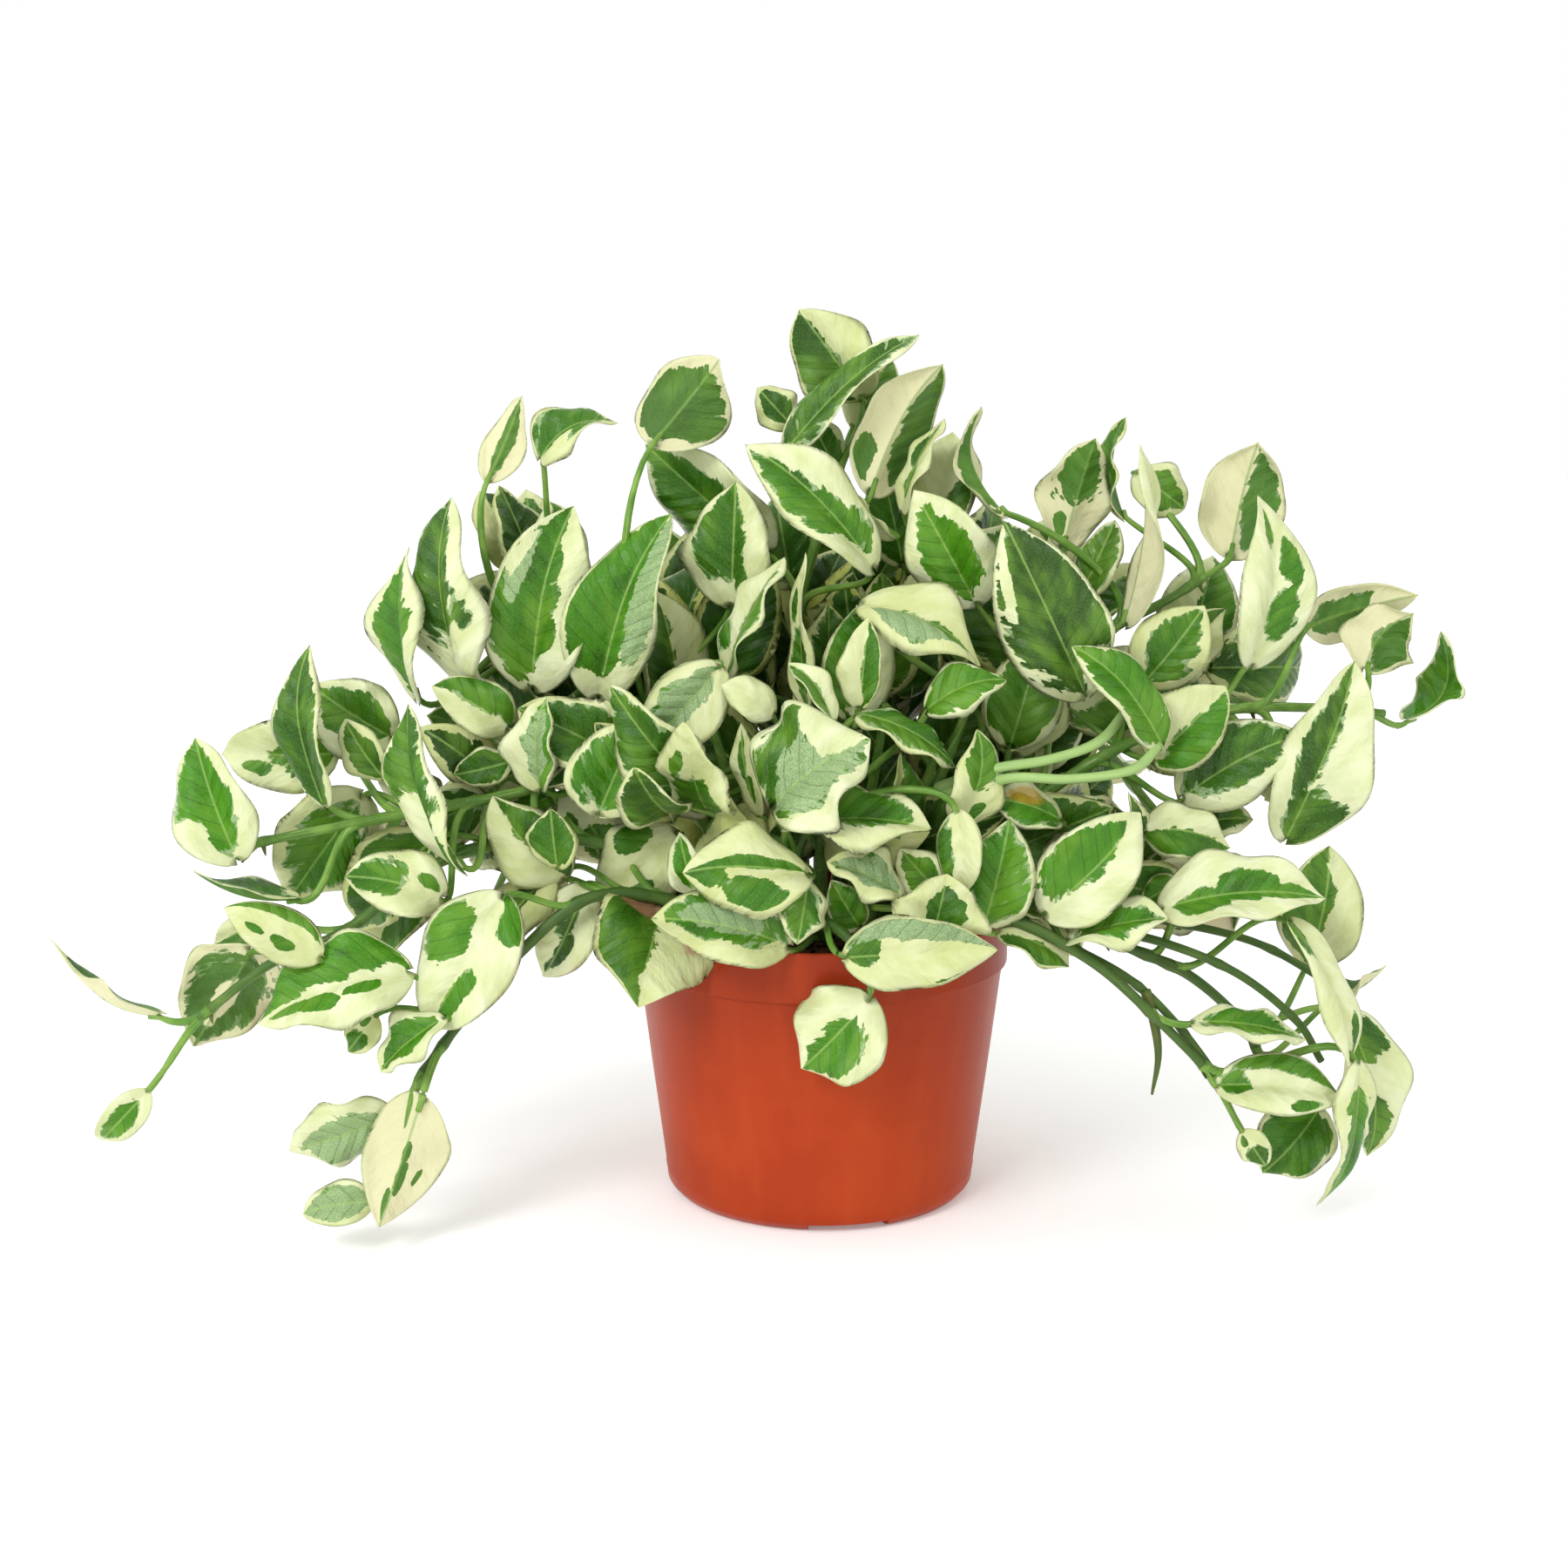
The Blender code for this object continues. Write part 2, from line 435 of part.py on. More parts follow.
# Soil: a plug that fills the pot to a little below the rim, with a lumpy top.
soil_foot = WALL_FOOT_RADIUS - WALL - 0.003 - 2 * GAP
soil_rim = WALL_TOP_RADIUS - WALL - 2 * GAP
soil_profile = [(0, floor_top + GAP), (soil_foot - 0.001, floor_top + GAP),
                (soil_foot - 0.001 + 0.003, floor_top + 0.004), (soil_rim, band_foot),
                (soil_rim, SOIL_TOP - 0.0012)]
soil_profile += [(soil_rim * share, SOIL_TOP) for share in (0.93, 0.72, 0.46, 0.2)] + [(0, SOIL_TOP)]
soil = turned("soil", soil_profile, 24, peat)
for vertex in soil.data.vertices:
    if vertex.co.z >= SOIL_TOP - 0.0001:
        x, y = vertex.co.x / CM, vertex.co.y / CM
        vertex.co.z += SOIL_BUMP * (math.sin(1.7 * x + 0.6) * math.cos(1.3 * y) - 1)

# Leaves, then each stem joined with the stalks of its leaves.
leaf_rows = [(s, np.array(b, float), np.array(e, float), facing(f), w, fold, arch)
             for s, b, e, f, w, fold, arch in LEAVES]
for stem, count in BACK_STEMS.items():
    leaf_rows += back_leaves(stem, count)

stalks = {name: [] for name in STEMS}
routes = {name: smooth_route(points, 3) * CM for name, points in STEMS.items()}
for number, (stem, base, tip, face, width, fold, arch) in enumerate(leaf_rows, 1):
    base, tip = base * CM, tip * CM
    blade = leaf_solid(base, tip, face, width * CM, math.radians(fold), arch, LEAF_ROWS)
    add_object(f"leaf_{number:02d}", *blade, leaf_green)
    mid, tangent, normal, side = leaf_frame(base, tip, face, arch, [0.0])
    points = stalk_points(routes[stem], base, tangent[0], normal[0], STALK_GAP, 4)
    stalks[stem].append(tube(points, [STALK_RADIUS] * len(points), 5))

for stem, base, tip, letters, width, fold, arch in SMALL_LEAVES:
    base, tip, face = np.array(base) * CM, np.array(tip) * CM, facing(letters)
    stalks[stem].append(leaf_solid(base, tip, face, width * CM, math.radians(fold), arch,
                                   SMALL_LEAF_ROWS))
    mid, tangent, normal, side = leaf_frame(base, tip, face, arch, [0.0, SMALL_HOLD])
    held = mid[1] - 0.5 * LEAF_THICKNESS * normal[1]
    points = stalk_points(routes[stem], held, tangent[0], normal[0], 0.0, 3)
    stalks[stem].append(tube(points, [STALK_RADIUS] * len(points), 4))

for name, route in routes.items():
    radii = np.linspace(STEM_RADIUS, STEM_END_RADIUS, len(route))
    joined(f"stem_{name}", [tube(route, radii, 6)] + stalks[name], stem_green)
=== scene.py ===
"""Looks of a small-leaved variegated pothos in a terracotta-coloured nursery pot.

The tables of stems and leaves are in centimetres in the plant's own frame: the middle of
the pot's base is the origin, +Z is up and -Y is the side that is seen first.
"""
import math

import bpy
import numpy as np
from mathutils.bvhtree import BVHTree
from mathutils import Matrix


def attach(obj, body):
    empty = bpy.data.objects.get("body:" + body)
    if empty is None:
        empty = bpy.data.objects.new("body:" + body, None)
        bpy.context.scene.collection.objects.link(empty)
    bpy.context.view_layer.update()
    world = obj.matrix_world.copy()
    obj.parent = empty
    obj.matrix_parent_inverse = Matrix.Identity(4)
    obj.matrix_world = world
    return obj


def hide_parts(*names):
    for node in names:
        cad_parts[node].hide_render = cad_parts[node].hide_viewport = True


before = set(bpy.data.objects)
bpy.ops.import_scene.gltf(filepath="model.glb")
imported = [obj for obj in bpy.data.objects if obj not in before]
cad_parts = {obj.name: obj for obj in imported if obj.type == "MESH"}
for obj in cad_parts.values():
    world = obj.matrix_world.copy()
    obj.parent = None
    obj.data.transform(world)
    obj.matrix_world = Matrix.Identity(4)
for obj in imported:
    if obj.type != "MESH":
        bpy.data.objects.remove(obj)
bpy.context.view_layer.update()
CM = 0.01


# ---------------------------------------------------------------------------------------
# Pot: one thin injection-moulded shell of terracotta-coloured plastic.  It has a proud
# band under the rim, a foot ring with four slots, and drain holes in a raised channel.
POT_SIDES = 144
RIM_RADIUS, RIM_TOP, RIM_BAND, BAND_STEP = 0.0775, 0.117, 0.0206, 0.0018
WALL_TOP_RADIUS, WALL_FOOT_RADIUS, FOOT_RADIUS = 0.0755, 0.0640, 0.0605
WALL, FOOT_BEVEL, FOOT_RING, CHANNEL_HEIGHT = 0.0014, 0.0040, 0.0065, 0.0035
BASE_DISC_RADIUS, SLOTS, SLOT_TURN, SLOT_WIDTH, SLOT_HEIGHT = 0.0200, 4, -80, 0.030, 0.0022
DRAIN_HOLES, DRAIN_RADIUS, DRAIN_SIDES, DRILL_ENDS = 8, 0.0035, 20, (0.0010, 0.0080)


def put_mesh(name, vertices, faces, mat, numbers=None, smooth=None):
    """A mesh object from arrays, with named values for each vertex, shaded smooth."""
    mesh = bpy.data.meshes.new(name)
    mesh.from_pydata(np.reshape(vertices, (-1, 3)), [], faces)
    for key, values in (numbers or {}).items():
        kind = "FLOAT_VECTOR" if values.ndim == 2 else "FLOAT"
        layer = mesh.attributes.new(key, kind, "POINT")
        layer.data.foreach_set("vector" if values.ndim == 2 else "value",
                               values.astype(np.float32).ravel())
    mesh.shade_smooth()
    if smooth is not None:
        mesh.set_sharp_from_angle(angle=math.radians(smooth))
    mesh.materials.append(mat)
    obj = bpy.data.objects.new(name, mesh)
    bpy.context.collection.objects.link(obj)
    return obj


def round_faces(rings, sides, start=0):
    """Quads of a grid that closes on itself around, ring by ring."""
    i, k = np.meshgrid(np.arange(rings - 1), np.arange(sides), indexing="ij")
    n = (k + 1) % sides
    quads = np.stack([i * sides + k, i * sides + n, (i + 1) * sides + n, (i + 1) * sides + k], -1)
    return (quads.reshape(-1, 4) + start).tolist()


def rgb(red, green, blue):
    """Linear colour from the everyday 0 to 255 values."""
    c = np.array((red, green, blue)) / 255
    return (*np.where(c < 0.04045, c / 12.92, ((c + 0.055) / 1.055) ** 2.4), 1.0)


class Nodes:
    """A material and a short way to add and join its nodes."""

    def __init__(self, name, roughness, specular=0.5):
        self.mat = bpy.data.materials.new(name)
        self.mat.use_nodes = True
        self.tree = self.mat.node_tree
        self.shader = self.tree.nodes["Principled BSDF"]
        self.shader.inputs["Roughness"].default_value = roughness
        self.shader.inputs["Specular IOR Level"].default_value = specular

    def add(self, kind, inputs=None, **settings):
        node = self.tree.nodes.new("ShaderNode" + kind)
        for key, value in settings.items():
            setattr(node, key, value)
        for key, value in (inputs or {}).items():
            if isinstance(value, bpy.types.NodeSocket):
                self.tree.links.new(value, node.inputs[key])
            else:
                node.inputs[key].default_value = value
        return node

    def math(self, operation, a, b=0.0):
        return self.add("Math", {0: a, 1: b}, operation=operation).outputs[0]

    def plus(self, a, b):
        return self.math("ADD", a, b)

    def times(self, a, b):
        return self.math("MULTIPLY", a, b)

    def ramp(self, value, low, high, to_low=0.0, to_high=1.0):
        return self.add("MapRange", {"Value": value, "From Min": low, "From Max": high,
                                     "To Min": to_low, "To Max": to_high},
                        interpolation_type="SMOOTHSTEP").outputs["Result"]

    def noise(self, vector, scale, detail=3.0, rough=0.55):
        """Smooth noise; a scale of three numbers stretches it by each of them."""
        if isinstance(scale, tuple):
            vector, scale = self.add("Mapping", {"Vector": vector, "Scale": scale}).outputs[0], 1.0
        return self.add("TexNoise", {"Vector": vector, "Scale": scale, "Detail": detail,
                                     "Roughness": rough}).outputs["Fac"]

    def mix(self, share, a, b):
        return self.add("Mix", {0: share, 6: a, 7: b}, data_type="RGBA").outputs[2]

    def layers(self, tone, *coats):
        """The tone under coats of colour, each laid on in its own share; some shares are ramps."""
        for share, colour in coats:
            share = self.ramp(*share) if isinstance(share, tuple) else share
            tone = self.mix(share, tone, rgb(*colour))
        return tone

    def place(self):
        return self.add("TexCoord").outputs["Object"]

    def named(self, name):
        """A vector that the mesh holds for each vertex."""
        return self.add("Attribute", attribute_name=name).outputs["Vector"]

    def parts(self, vector):
        """The three parts of a vector."""
        return tuple(self.add("SeparateXYZ", {0: vector}).outputs)

    def to(self, socket, value):
        self.tree.links.new(value, self.shader.inputs[socket])

    def bump(self, height, strength, distance, under=None):
        inputs = {"Height": height, "Strength": strength, "Distance": distance}
        if under is not None:
            inputs["Normal"] = under
        return self.add("Bump", inputs).outputs[0]


pot_look = look = Nodes("pot_plastic", 0.34, 0.12)
place = look.place()
streaks = look.noise(place, (70, 70, 5), 4.0)
clouds = look.noise(place, 22.0, 3.0)
grain = look.noise(place, 900.0, 2.0)
height = look.parts(place)[2]
# Painted shadow of the foliage: the pot's colour darkens with height from 4.5 cm up to the rim.
look.to("Base Color", look.layers(
    rgb(158, 53, 20), ((clouds, 0.3, 0.7), (170, 61, 23)),
    ((height, 0.045, 0.112, 0.0, 0.55), (134, 46, 22)),
    ((streaks, 0.42, 0.75, 0.0, 0.22), (186, 80, 36))))
look.to("Roughness", look.ramp(streaks, 0.3, 0.7, 0.30, 0.38))
wave = look.bump(streaks, 0.03, 0.002)
look.to("Normal", look.bump(grain, 0.12, 0.0003, wave))

band_foot = RIM_TOP - RIM_BAND
floor_top = CHANNEL_HEIGHT + WALL
ring_in, foot_in, rim_in = FOOT_RADIUS - FOOT_RING, WALL_FOOT_RADIUS - WALL, RIM_RADIUS - WALL


def corner(radius, height, *offsets):
    """Points of the profile near a place, from their offsets in millimetres."""
    return [(radius + across / 1000, height + up / 1000) for across, up in offsets]


pot_profile = np.array(
    corner(0, 0, (0.2, 0)) + corner(BASE_DISC_RADIUS, 0, (-1, 0), (0, 0.2))
    + corner(BASE_DISC_RADIUS, CHANNEL_HEIGHT, (1.8, -0.4), (3, 0))
    + corner(ring_in, CHANNEL_HEIGHT, (-3, 0), (-1.5, -0.4)) + corner(ring_in, 0, (0, 0.3), (0.6, 0))
    + corner(FOOT_RADIUS, 0, (-0.6, 0), (0.4, 0.3))
    + corner(WALL_FOOT_RADIUS, FOOT_BEVEL, (-0.7, -1.2), (0, 0), (0.2, 2.5))
    + corner(WALL_FOOT_RADIUS, 0, (0.7, 9.4), (0.5, 9.8))
    + corner(0.5 * (WALL_FOOT_RADIUS + WALL_TOP_RADIUS), 0.5 * (band_foot + FOOT_BEVEL), (0, 0))
    + corner(WALL_TOP_RADIUS, band_foot, (-0.1, -1), (0.2, -0.2), (1.2, 0.2))
    + corner(WALL_TOP_RADIUS + BAND_STEP, band_foot, (0, 0.8), (0.1, 2))
    + corner(RIM_RADIUS, RIM_TOP, (-0.1, -1.6), (0, -0.6), (-0.2, -0.2), (-0.6, 0))
    + corner(rim_in, RIM_TOP, (0.2, 0), (-0.2, -0.2), (-0.4, -0.6))
    + corner(WALL_TOP_RADIUS + BAND_STEP - WALL, band_foot, (0, 3))
    + corner(WALL_TOP_RADIUS - WALL, band_foot, (0, 0))
    + corner(foot_in, floor_top, (0, 3), (-0.8, 0.8), (-3, 0)) + corner(0, floor_top, (0.2, 0)))


def pot_points():
    """The profile turned about Z; foot-ring points are raised by the slot height at the slots."""
    even = np.arange(POT_SIDES) * 2 * math.pi / POT_SIDES
    middle = FOOT_RADIUS - FOOT_RING / 2
    apart = 2 * math.pi / SLOTS
    slots = math.radians(SLOT_TURN) + np.arange(SLOTS) * apart
    reach = SLOT_WIDTH / 2 / middle
    edges = (slots[:, None] + np.array((-reach - 0.004, -reach, reach, reach + 0.004))).ravel()
    turn = np.sort(np.concatenate([even, edges % (2 * math.pi)]))
    off = np.abs((turn[:, None] - slots + apart / 2) % apart - apart / 2).min(1)
    r, z = pot_profile[:, :1], pot_profile[:, 1:]
    ring = (r > ring_in - 0.002) & (r < FOOT_RADIUS + 0.003) & (z < SLOT_HEIGHT)
    z = np.where(ring & (off <= reach + 0.001), SLOT_HEIGHT, z)
    x, y = r * np.cos(turn), r * np.sin(turn)
    return np.stack([x, y, np.broadcast_to(z, x.shape)], -1), len(turn)


points, around = pot_points()
faces = round_faces(len(pot_profile), around)
last = (len(pot_profile) - 1) * around
faces += [list(range(around))[::-1], list(range(last, last + around))]
pot = put_mesh("pot_shell", points, faces, pot_look.mat, smooth=38)

hole_turn = 2 * math.pi * (np.arange(DRAIN_HOLES) + 0.5) / DRAIN_HOLES
hole_ring = (BASE_DISC_RADIUS + FOOT_RADIUS - FOOT_RING) / 2
edge = np.arange(DRAIN_SIDES) * 2 * math.pi / DRAIN_SIDES
x = hole_ring * np.cos(hole_turn)[:, None, None] + DRAIN_RADIUS * np.cos(edge) * np.ones((1, 2, 1))
y = hole_ring * np.sin(hole_turn)[:, None, None] + DRAIN_RADIUS * np.sin(edge) * np.ones((1, 2, 1))
z = np.array(DRILL_ENDS)[None, :, None] * np.ones((DRAIN_HOLES, 1, DRAIN_SIDES))
faces = []
for k in range(0, 2 * DRAIN_SIDES * DRAIN_HOLES, 2 * DRAIN_SIDES):
    faces += round_faces(2, DRAIN_SIDES, k)
    faces += [list(range(k, k + DRAIN_SIDES))[::-1], list(range(k + DRAIN_SIDES, k + 2 * DRAIN_SIDES))]
drill = put_mesh("drain_drill", np.stack([x, y, z], -1), faces, pot_look.mat)
bore = pot.modifiers.new("drain_holes", "BOOLEAN")
bore.operation, bore.solver, bore.object = "DIFFERENCE", "EXACT", drill
drilled = bpy.data.meshes.new_from_object(pot.evaluated_get(bpy.context.evaluated_depsgraph_get()))
pot.modifiers.clear()
pot.data = drilled
bpy.data.objects.remove(drill)
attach(pot, "root")
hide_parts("pot")


# ---------------------------------------------------------------------------------------
# Soil: a plug of dry peaty potting mix, filled to a little below the rim, with a lumpy
# top that is heaped up at the front and loose crumbs of peat and bark lying on it.
SOIL_TOP, SOIL_SIDES, SOIL_RINGS, CRUMBS = 0.104, 120, 44, 420
soil_look = look = Nodes("potting_soil", 0.95, 0.2)
place = look.place()
lumps = look.noise(place, 160.0, 6.0, 0.7)
fibre = look.noise(place, (500, 900, 700), 4.0, 0.7)
look.to("Base Color", look.layers(
    rgb(48, 32, 22), ((lumps, 0.35, 0.7), (112, 78, 52)),
    ((fibre, 0.62, 0.75), (150, 112, 78))))
look.to("Normal", look.bump(lumps, 0.8, 0.002, look.bump(fibre, 0.5, 0.0006)))


def bumps(x, y):
    """Height of the soil: sines of growing pitch and one mound at the front; x and y in cm."""
    return (0.11 * np.sin(1.7 * x + 0.6) * np.cos(1.3 * y) + 0.06 * np.sin(3.1 * x - 1.2 * y)
            + 0.05 * np.cos(4.3 * y + 2.2 * x + 1) + 0.03 * np.sin(7.9 * x + 1.1) * np.sin(8.3 * y)
            + 1.2 * np.exp(-(x ** 2 + (y + 5.2) ** 2) / 6))


soil_rim = WALL_TOP_RADIUS - WALL - 0.0004
share = np.linspace(0.004, 1, SOIL_RINGS)
radius = np.concatenate([soil_rim * share, [soil_rim, foot_in - 0.0008, 0.0002]])
level = np.concatenate([np.full(SOIL_RINGS, SOIL_TOP), [band_foot, floor_top + 0.004, floor_top + 0.0004]])
turn = np.arange(SOIL_SIDES) * 2 * math.pi / SOIL_SIDES
x, y = radius[:, None] * np.cos(turn), radius[:, None] * np.sin(turn)
top = np.concatenate([np.ones(SOIL_RINGS - 1), [0.2], np.zeros(3)])[:, None]
z = level[:, None] + top * (CM * bumps(x / CM, y / CM) - 0.0012)
faces = [f[::-1] for f in round_faces(len(radius), SOIL_SIDES)]
last = (len(radius) - 1) * SOIL_SIDES
faces += [list(range(SOIL_SIDES)), list(range(last, last + SOIL_SIDES))[::-1]]
soil = put_mesh("soil_plug", np.stack([x, y, z], -1), faces, soil_look.mat)
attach(soil, "root")
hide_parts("soil")

draw = np.random.default_rng(11)
golden = (1 + 5 ** 0.5) / 2
chip_corners = np.array([
    (0, 1, golden), (0, -1, golden), (0, 1, -golden), (0, -1, -golden),
    (1, golden, 0), (-1, golden, 0), (1, -golden, 0), (-1, -golden, 0),
    (golden, 0, 1), (-golden, 0, 1), (golden, 0, -1), (-golden, 0, -1)]) / 1.9
chip_faces = np.array([
    (0, 1, 8), (0, 8, 4), (0, 4, 5), (0, 5, 9), (0, 9, 1), (3, 2, 11), (3, 11, 7), (3, 7, 6),
    (3, 6, 10), (3, 10, 2), (1, 6, 8), (8, 6, 10), (8, 10, 4), (4, 10, 2), (4, 2, 5), (5, 2, 11),
    (5, 11, 9), (9, 11, 7), (9, 7, 1), (1, 7, 6)])
size = 0.0006 + 0.0022 * draw.random((CRUMBS, 1, 1)) ** 2.5
shape = chip_corners * size * (0.6 + 0.8 * draw.random((CRUMBS, 1, 3)))
shape = shape * (0.8 + 0.4 * draw.random((CRUMBS, 12, 1)))
away, turn = (soil_rim - 0.003) * np.sqrt(draw.random(CRUMBS)), draw.random(CRUMBS) * 2 * math.pi
x, y = away * np.cos(turn), away * np.sin(turn)
lies = np.stack([x, y, SOIL_TOP - 0.0010 + CM * bumps(x / CM, y / CM) + 0.3 * size[:, 0, 0]], -1)
chips = (chip_faces[None] + 12 * np.arange(CRUMBS)[:, None, None]).reshape(-1, 3)
crumbs = put_mesh("soil_crumbs", shape + lies[:, None], chips.tolist(), soil_look.mat)
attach(crumbs, "root")


# ---------------------------------------------------------------------------------------
# Trailing stems: round ridged green stems that come out of the soil and arch outwards.
# They swell at each joint, where a brown scar is left, and carry the leaf stalks.
STEM_RADIUS, STEM_END_RADIUS = 0.0026, 0.0016
STEM_ROUTES = """
left_low  -3 -3.4 10.6  -5.5 -4.6 12.9  -9 -5.6 13.4  -11.8 -6.5 11.3  -14 -7.5 8.8  -15.5 -8 6.8
left_far  -4 -1 10.6  -7 -2.8 14.4  -11 -4 15.4  -15 -4.8 14.6  -18.4 -5.9 12.2  -21.3 -6.6 11  -24 -7.2 9
left_mid  -4 0.6 10.6  -6.5 -1.5 15.6  -9.5 -3 17.6  -12.5 -4 17.1  -16 -4.8 16.6  -19.5 -5.9 16.1
    -21.8 -6.4 15.7
left_top  -2.4 1.2 10.6  -4 0.2 15.5  -6.5 -0.8 19.2  -9.2 -0.6 21.6  -12 -0.4 23  -13.6 -0.6 25
top  -0.6 1.6 10.6  -0.8 1.8 17  -1 1.4 23  0 1 27.4  0.8 0.8 29.8
right_top  2.5 0.8 10.6  5 0.4 16  8 0.2 20.3  11.2 0 22.9  14 0.2 24.4  15.6 0.4 25.4
right_mid  3.4 -0.6 10.6  7 -1.2 15  11.5 -1.6 18.4  16 -1 20  20 -0.4 20.1  23 0 19.8
right_low  3.2 -2.4 10.6  6 -4.4 13.2  9.5 -5.3 12.4  11.8 -5.3 11.4  14.4 -5.4 10.2  16.5 -5.6 8.3
    17.3 -5.8 6.6
right_front  2.6 -4.4 10.6  5.2 -5.8 12.9  7.4 -7 12.8  10.2 -7.7 11.4  12.4 -8 9.5  14.9 -8 7
front  -0.8 -2.4 10.6  -1.1 -4 13  -0.9 -5.2 15.2  -0.4 -5.8 16.4
front_rim  0.4 -4 10.6  -0.3 -5.8 12.3  0.2 -7.4 12.8  1.2 -8.6 12.2  1.8 -9.1 11.1
back_left  -2.2 3.4 10.6  -4.5 6.5 15  -7.8 9.8 16.6  -11.5 12.8 14.6  -14.6 15 10.6  -16.5 16.2 6.4
back_mid  0.6 4.2 10.6  1.6 7.6 16.4  2.6 11.4 18  3.4 15 15.4  3.8 17.6 10.6  3.6 18.8 5.8
back_right  3.4 2.8 10.6  6.4 5.8 15.8  9.8 8.8 18  13.4 11.6 16.4  16.4 13.8 12.2  18 15 7.6
"""
STEMS = {}
for row in STEM_ROUTES.strip().replace("\n    ", " ").split("\n"):
    name, *numbers = row.split()
    STEMS[name] = np.array(numbers, float).reshape(-1, 3)


def smooth_route(points, per_span):
    """Catmull-Rom curve through the points, per_span samples for each span, end included."""
    p = np.array(points, float)
    p = np.vstack([2 * p[0] - p[1], p, 2 * p[-1] - p[-2]])
    u = (np.arange(per_span) / per_span)[:, None]
    a, b, c, d = (p[i:len(p) - 3 + i, None, :] for i in range(4))
    curve = 0.5 * (2 * b + (c - a) * u + (2 * a - 5 * b + 4 * c - d) * u ** 2
                   + (3 * b - a - 3 * c + d) * u ** 3)
    return np.vstack([curve.reshape(-1, 3), p[-2:-1]])


def unit(v):
    """Vectors of length 1."""
    return v / np.linalg.norm(v, axis=-1, keepdims=True)


def tube(points, radius, sides, ridge, ridges, start):
    """A closed tube: radius times (1 + ridge * cos(ridges * angle)) around each point.

    Its rings are square to the path and turned from the plane that the path lies in; the
    two ends close on a middle point.
    """
    along = unit(np.gradient(points, axis=0))
    flat = np.linalg.svd(along - along.mean(0))[2][-1]
    side = unit(np.cross(along, flat))
    other = np.cross(along, side)
    angle = np.arange(sides) * 2 * math.pi / sides
    reach = radius[:, None] * (1 + ridge * np.cos(ridges * angle))
    ring = (points[:, None] + (reach * np.cos(angle))[..., None] * side[:, None]
            + (reach * np.sin(angle))[..., None] * other[:, None])
    count = len(points)
    faces = round_faces(count, sides, start)
    k = np.arange(sides)
    n = (k + 1) % sides
    first, final = start + count * sides, start + count * sides + 1
    last = start + (count - 1) * sides
    faces += np.stack([n + start, k + start, np.full(sides, first)], -1).tolist()
    faces += np.stack([last + k, last + n, np.full(sides, final)], -1).tolist()
    caps = np.stack([points[0] - 0.4 * radius[0] * along[0], points[-1] + 0.4 * radius[-1] * along[-1]])
    return np.vstack([ring.reshape(-1, 3), caps]), faces


stem_look = look = Nodes("stem_green", 0.42, 0.3)
place = look.place()
along = look.named("run")
lines = look.noise(along, (0.5, 30, 30), 3.0)
blotch = look.noise(place, 70.0, 3.0)
age = look.add("Attribute", attribute_name="age").outputs["Fac"]
scar = look.plus(look.parts(along)[2], look.times(blotch, 0.5))
# The pale stripes along the stems are partly their own paler lines and partly a painted highlight.
look.to("Base Color", look.layers(
    rgb(84, 130, 38), ((blotch, 0.35, 0.7), (130, 168, 72)),
    ((lines, 0.45, 0.7, 0.0, 0.55), (66, 104, 36)),
    ((lines, 0.30, 0.44, 0.6, 0.0), (186, 204, 136)),
    ((age, 0.0, 1.0, 0.0, 0.74), (48, 72, 28)),
    ((age, -1.0, 0.0, 0.7, 0.0), (170, 200, 128)),
    ((scar, 0.9, 1.3, 0.0, 0.7), (120, 98, 54))))
look.to("Roughness", look.ramp(blotch, 0.3, 0.7, 0.34, 0.5))
look.to("Normal", look.bump(lines, 0.35, 0.0008))


# ---------------------------------------------------------------------------------------
# Leaf stalks: each leaf stands on a thin grooved stalk that clasps the stem with a short
# sheath and bends at the top to meet the blade from its under side.
STALK_RADIUS = 0.0015
UP, BACK = np.array((0, 0, 1.0)), np.array((0, 1.0, 0))
SIDES = {"F": (0, -1, 0), "B": (0, 1, 0), "L": (-1, 0, 0), "R": (1, 0, 0),
         "U": (0, 0, 1), "D": (0, 0, -1)}


def facing(letters):
    """Unit vector of the sum of the directions that the letters name."""
    return unit(sum(np.array(SIDES[c], float) for c in letters))


def leaf_frame(base, tip, face, arch, t):
    """Midrib points, tangents, upward normals and the side vector at the shares t of length."""
    chord = tip - base
    length = np.linalg.norm(chord)
    d = chord / length
    n = unit(face - d * face.dot(d))
    t = np.asarray(t)[:, None]
    mid = base + chord * t + n * arch * length * 4 * t * (1 - t)
    tangent = unit(d + n * arch * 4 * (1 - 2 * t))
    side = np.cross(d, n)
    return mid, tangent, np.cross(side, tangent), side


def stalk_points(route, base, tip, face, arch, foot=None):
    """Cubic curve that leaves the stem along it and ends on the under side of the blade."""
    mid, tangent, normal, side = leaf_frame(base, tip, face, arch, [0.0, 0.07])
    behind = unit(tangent[0] + 0.5 * normal[0])
    start = base - 0.026 * behind if foot is None else np.array(foot) * CM
    near = int(np.argmin(np.linalg.norm(route - start, axis=1)))
    step = np.linalg.norm(route[1] - route[0])
    near = max(near - int(0.011 / step), 3)
    foot, along = route[near], unit(route[near + 1] - route[near - 1])
    far = np.linalg.norm(base - foot)
    first, second = foot + 0.34 * far * along, base - 0.38 * far * behind - 0.0012 * normal[0]
    u = np.linspace(0, 1, 17)[:, None]
    curve = ((1 - u) ** 3 * foot + 3 * u * (1 - u) ** 2 * first + 3 * u ** 2 * (1 - u) * second
             + u ** 3 * (base - 0.0013 * normal[0]))
    return np.vstack([curve, mid[1] - 0.0014 * normal[1]]), foot


